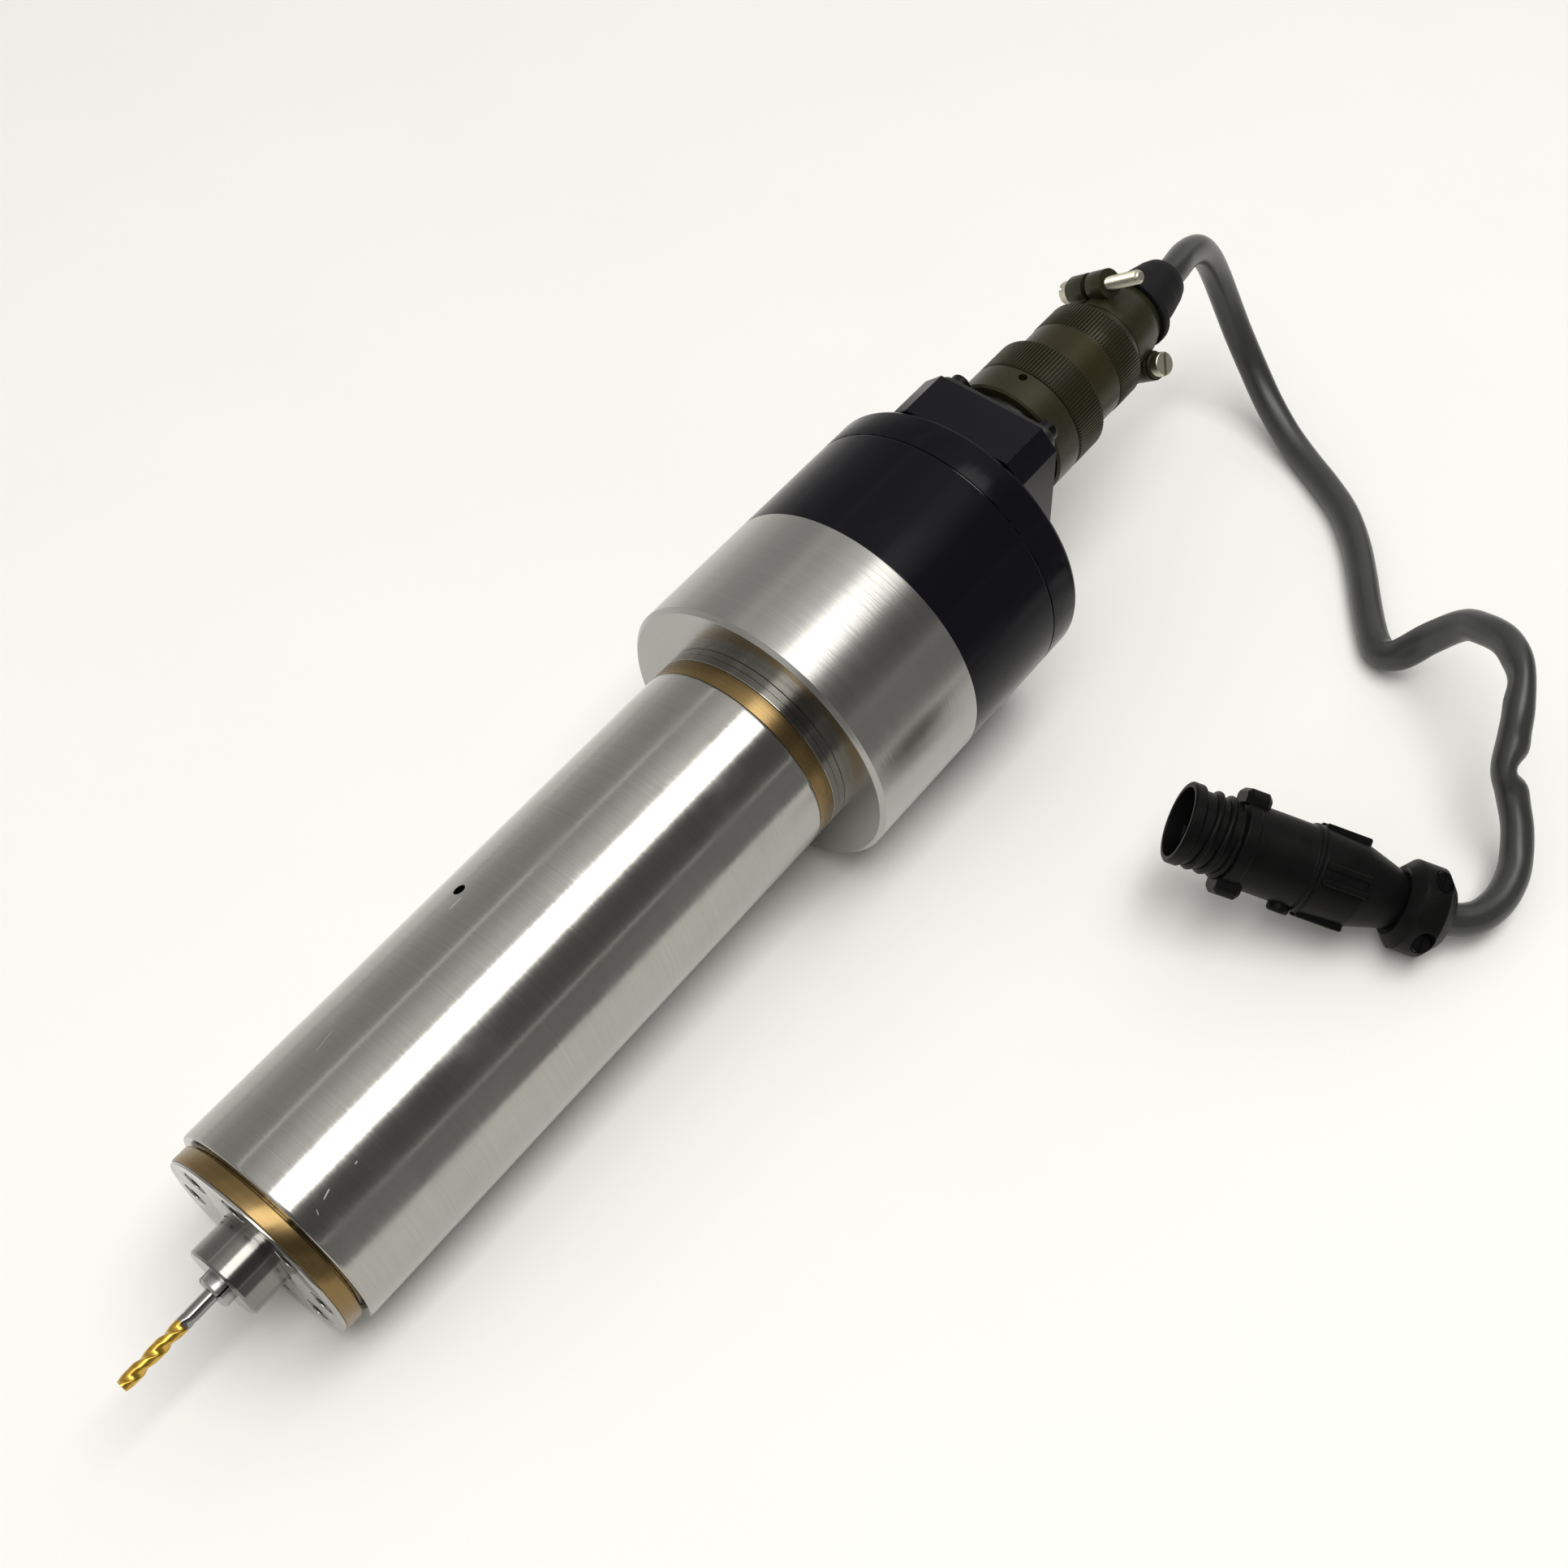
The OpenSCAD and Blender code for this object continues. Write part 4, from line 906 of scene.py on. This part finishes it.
fitted("black_rear_housing", rear_mesh, anodised, "housing", "rear_housing")
fitted("black_rear_cover", cover_mesh, anodised, "housing", "rear_cover")
fitted("black_terminal_block", block_mesh, block_black, "housing", "terminal_block")
cover_screw = socket_screw(4, 7, 12)
cover_screw.transform(spot(218.3, 0, 30) @ turn(180, "Z"))
cover_screws = ring_of(cover_screw, black_steel, 6, 90, on_spindle)
fitted("cover_cap_screws", cover_screws, black_steel, "housing", "cover_screws")

# The connector's fixed half: a black plated receptacle with a square flange, held by four M3 socket screws.
# Only its flange and a little of its thread show behind the coupling ring.
black_plate = coated("black_plate", (0.006, 0.006, 0.005), (0.014, 0.0135, 0.011), 0.36, 0.45, connector_at)
receptacle_mesh = broken("receptacle", 0.00025)
fitted("receptacle_shell", receptacle_mesh, black_plate, "housing", "receptacle")
flange_screw = socket_screw(3, 5.5, 9)
flange_screw.transform(spot(239.3, 0, 17.395) @ turn(180, "Z"))
flange_screws = ring_of(flange_screw, black_steel, 4, 45, on_connector)
fitted("flange_cap_screws", flange_screws, black_steel, "housing", "receptacle_screws")

# The coupling ring, the plug barrel and the end bell: aluminium under an olive drab plating. The ring and
# the bell have straight knurls; three small holes in the ring's plain band take a locking wire.
olive_tones = (0.018, 0.0185, 0.0075), (0.037, 0.0375, 0.017)
olive = coated("olive_plate", *olive_tones, 0.36, 0.28, connector_at, metallic=0.3)
brown_tones = (0.022, 0.0195, 0.006), (0.043, 0.0385, 0.0145)
brown_olive = coated("brown_olive_plate", *brown_tones, 0.34, 0.2, connector_at, metallic=0.3)
band = Shape().turned(
    eased(
        [
            (242.8, 13.5), (242.8, 15.35), (243.4, 15.95), (251.05, 15.95), (251.3, 15.1), (251.7, 15.1),
            (251.8, 15.5), (261.6, 15.5), (262.3, 14.75), (262.3, 12.25), (258.5, 12.25), (258.5, 13.5),
        ],
        0.12,
    ),
    192,
)


def knurl(start, end, crest, root, count):
    """One rib of a straight knurl, straight up from the axis, its foot sunk into the metal under it."""
    pitch = 2 * math.pi * crest / count
    foot, top = pitch * 0.42, pitch * 0.2
    sunk, low = root - 0.15, root + 0.08
    slope = 0.35
    points = []
    for along, up in ((start, low), (start + slope, crest), (end - slope, crest), (end, low)):
        points += [(along, -foot, sunk), (along, -top, up), (along, top, up), (along, foot, sunk)]
    return Shape().add(points, tube_faces(4, 4)).mesh()


wire_hole = Shape().turned(
    [(13, 0), (13, 1.1), (17, 1.1), (17, 0)], 32, spot(249.35, 0, 0) @ turn(-90, "Y")
)
wire_holes = ring_of(wire_hole.mesh(), olive, 3, 0, on_connector)
ribs = ring_of(knurl(251.8, 261.7, 15.93, 15.5, 112), olive, 112, 0, on_connector)
coupling_mesh = joined(cut_out(band.mesh(on_connector), wire_holes), ribs)
fitted("knurled_coupling_ring", coupling_mesh, olive, "coupling", "coupling_ring")

barrel = Shape().turned(
    eased(
        [
            (245, 10.2), (245, 11.4), (253, 11.4), (253, 13.1), (257.9, 13.1), (257.9, 12.05), (262.5, 12.05),
            (262.5, 13.55), (272.05, 13.55), (272.05, 10.2),
        ],
        0.15,
    ),
    160,
)
barrel_mesh = barrel.mesh(on_connector)
fitted("plug_barrel_turned", barrel_mesh, brown_olive, "housing", "plug_barrel")
bell = Shape().turned(
    eased(
        [
            (272.1, 10.2), (272.1, 13.2), (272.5, 13.35), (280.7, 13.35), (281.4, 12.75), (281.4, 11.8),
            (284, 11), (284, 7.2), (281.4, 7.2), (281.4, 10.2),
        ],
        0.12,
    ),
    160,
)
bell_ribs = ring_of(knurl(272.4, 280.9, 13.73, 13.38, 98), olive, 98, 0, on_connector)
bell_mesh = joined(bell.mesh(on_connector), bell_ribs)
fitted("knurled_end_bell", bell_mesh, olive, "housing", "end_bell")

# The cable clamp: two olive saddles on the boot's sleeve, drawn together by two long slotted screws that
# run opposite ways, each on its own washer. One bare thread end stands out beside the boot.
saddles = broken("clamp_saddles", 0.00035)
fitted("clamp_saddle_halves", saddles, olive, "housing", "clamp_saddles")
zinc_tones = (0.44, 0.42, 0.34), (0.66, 0.63, 0.52)
zinc = machined("zinc_plate", *zinc_tones, 0.32, lines=900, depth=6e-6, at=connector_at)
screw_outline = eased(
    [
        (-2.6, 0), (-2.6, 3, 0.5), (0, 3, 0.15), (0, 1.75), (3, 1.75), (3.4, 1.38), (22.8, 1.38), (23.2, 1.0),
        (23.2, 0),
    ],
    0.1,
)
slot_outline = [(-4, -0.45), (4, -0.45), (4, 0.45), (-4, 0.45)]
on_clamp = on_connector @ turn(51, "X")
screw_parts = []
for way in (1, -1):
    seat = on_clamp @ spot(290.45, way * 12, -way * 6.8) @ turn(-90 * way, "Y")
    clamp_screw = Shape().turned(screw_outline, 48)
    driver_slot = Shape().pushed(slot_outline, -3.4, -1.35, 0.01, turn(35, "X"))
    screw_parts.append(cut_out(clamp_screw.mesh(seat), driver_slot.mesh(seat)))
    screw_parts.append(threaded(zinc, 1.36, 0.8, 23.5, 0.38, 4, seat @ spot(3.8, 0, 0)))
fitted("slotted_clamp_screws", joined(*screw_parts), zinc, "housing", "clamp_screws")
washers = broken("clamp_washers", 0.00015)
fitted("clamp_lock_washers", washers, olive, "housing", "clamp_washers")

# The boot: moulded black rubber with a round disc against the clamp and a taper that eases the lead's bend.
rubber = Finish("black_rubber", {"Specular IOR Level": 0.14}, **connector_at)
bloom = rubber.pattern(120, 4, 0.6)
rubber.tinted(bloom, (0.005, 0.005, 0.0055), (0.013, 0.013, 0.0138))
rubber.rough(0.5 + bloom * 0.2)
rubber.relief(rubber.pattern(2000), 5e-5)
boot = Shape().turned(
    eased(
        [
            (279.5, 3.85), (279.5, 7), (296.9, 7), (296.9, 10.3), (299.2, 10.3), (299.2, 8.5),
            (304.9, 7.9, 3), (309.6, 6.9, 1.5), (311.8, 6.1, 1), (312.8, 5.1, 0.6), (312.8, 3.85),
        ],
        0.5,
    ),
    96,
)
fitted("rubber_boot", boot.mesh(on_connector), rubber, "housing", "cable_boot")

# Inside: the bearings, springs, motor, release piston and contacts keep their CAD solids. Each gets the
# finish of its own material, with the marks of how it is made.
bronze = machined("bearing_bronze", (0.40, 0.24, 0.10), (0.55, 0.35, 0.16), 0.3)
cast = machined("turned_aluminium", (0.55, 0.55, 0.55), (0.70, 0.70, 0.70), 0.34, lines=1200)
sheets = machined("laminations", (0.10, 0.10, 0.11), (0.26, 0.27, 0.29), 0.42, lines=2000, depth=3e-5)
spring_steel = machined("spring_steel", (0.16, 0.16, 0.165), (0.26, 0.26, 0.265), 0.33, lines=1500)
gold_tones = (0.70, 0.48, 0.16), (0.86, 0.62, 0.25)
pin_gold = machined("contact_gold", *gold_tones, 0.25, lines=2600, at=connector_at)
copper_tones = (0.22, 0.07, 0.02), (0.42, 0.15, 0.045)
enamel = coated("enamelled_copper", *copper_tones, 0.3, 0.6, spindle_at, metallic=0.6)
face_rubber = coated("insert_rubber", (0.035, 0.035, 0.035), (0.065, 0.065, 0.065), 0.6, 0.3, connector_at)
kept = {
    bronze: ["front_bearing", "rear_bearing"],
    cast: ["bearing_spacer", "rotor_end_rings", "release_piston"],
    rubber: ["bearing_orings", "piston_seal"],
    black_steel: ["thrust_screws", "block_screws", "free_clamp_screws"],
    sheets: ["rotor_core", "stator_core"],
    tool_steel: ["drawbar"],
    spring_steel: ["disc_springs", "piston_spring"],
    enamel: ["stator_windings"],
    face_rubber: ["receptacle_insert", "plug_insert", "free_insert"],
    pin_gold: ["contacts", "free_contacts"],
}
for finish, nodes in kept.items():
    for node in nodes:
        solid = frame["nodes"][node]
        solid.data.materials.clear()
        solid.data.materials.append(finish.material)
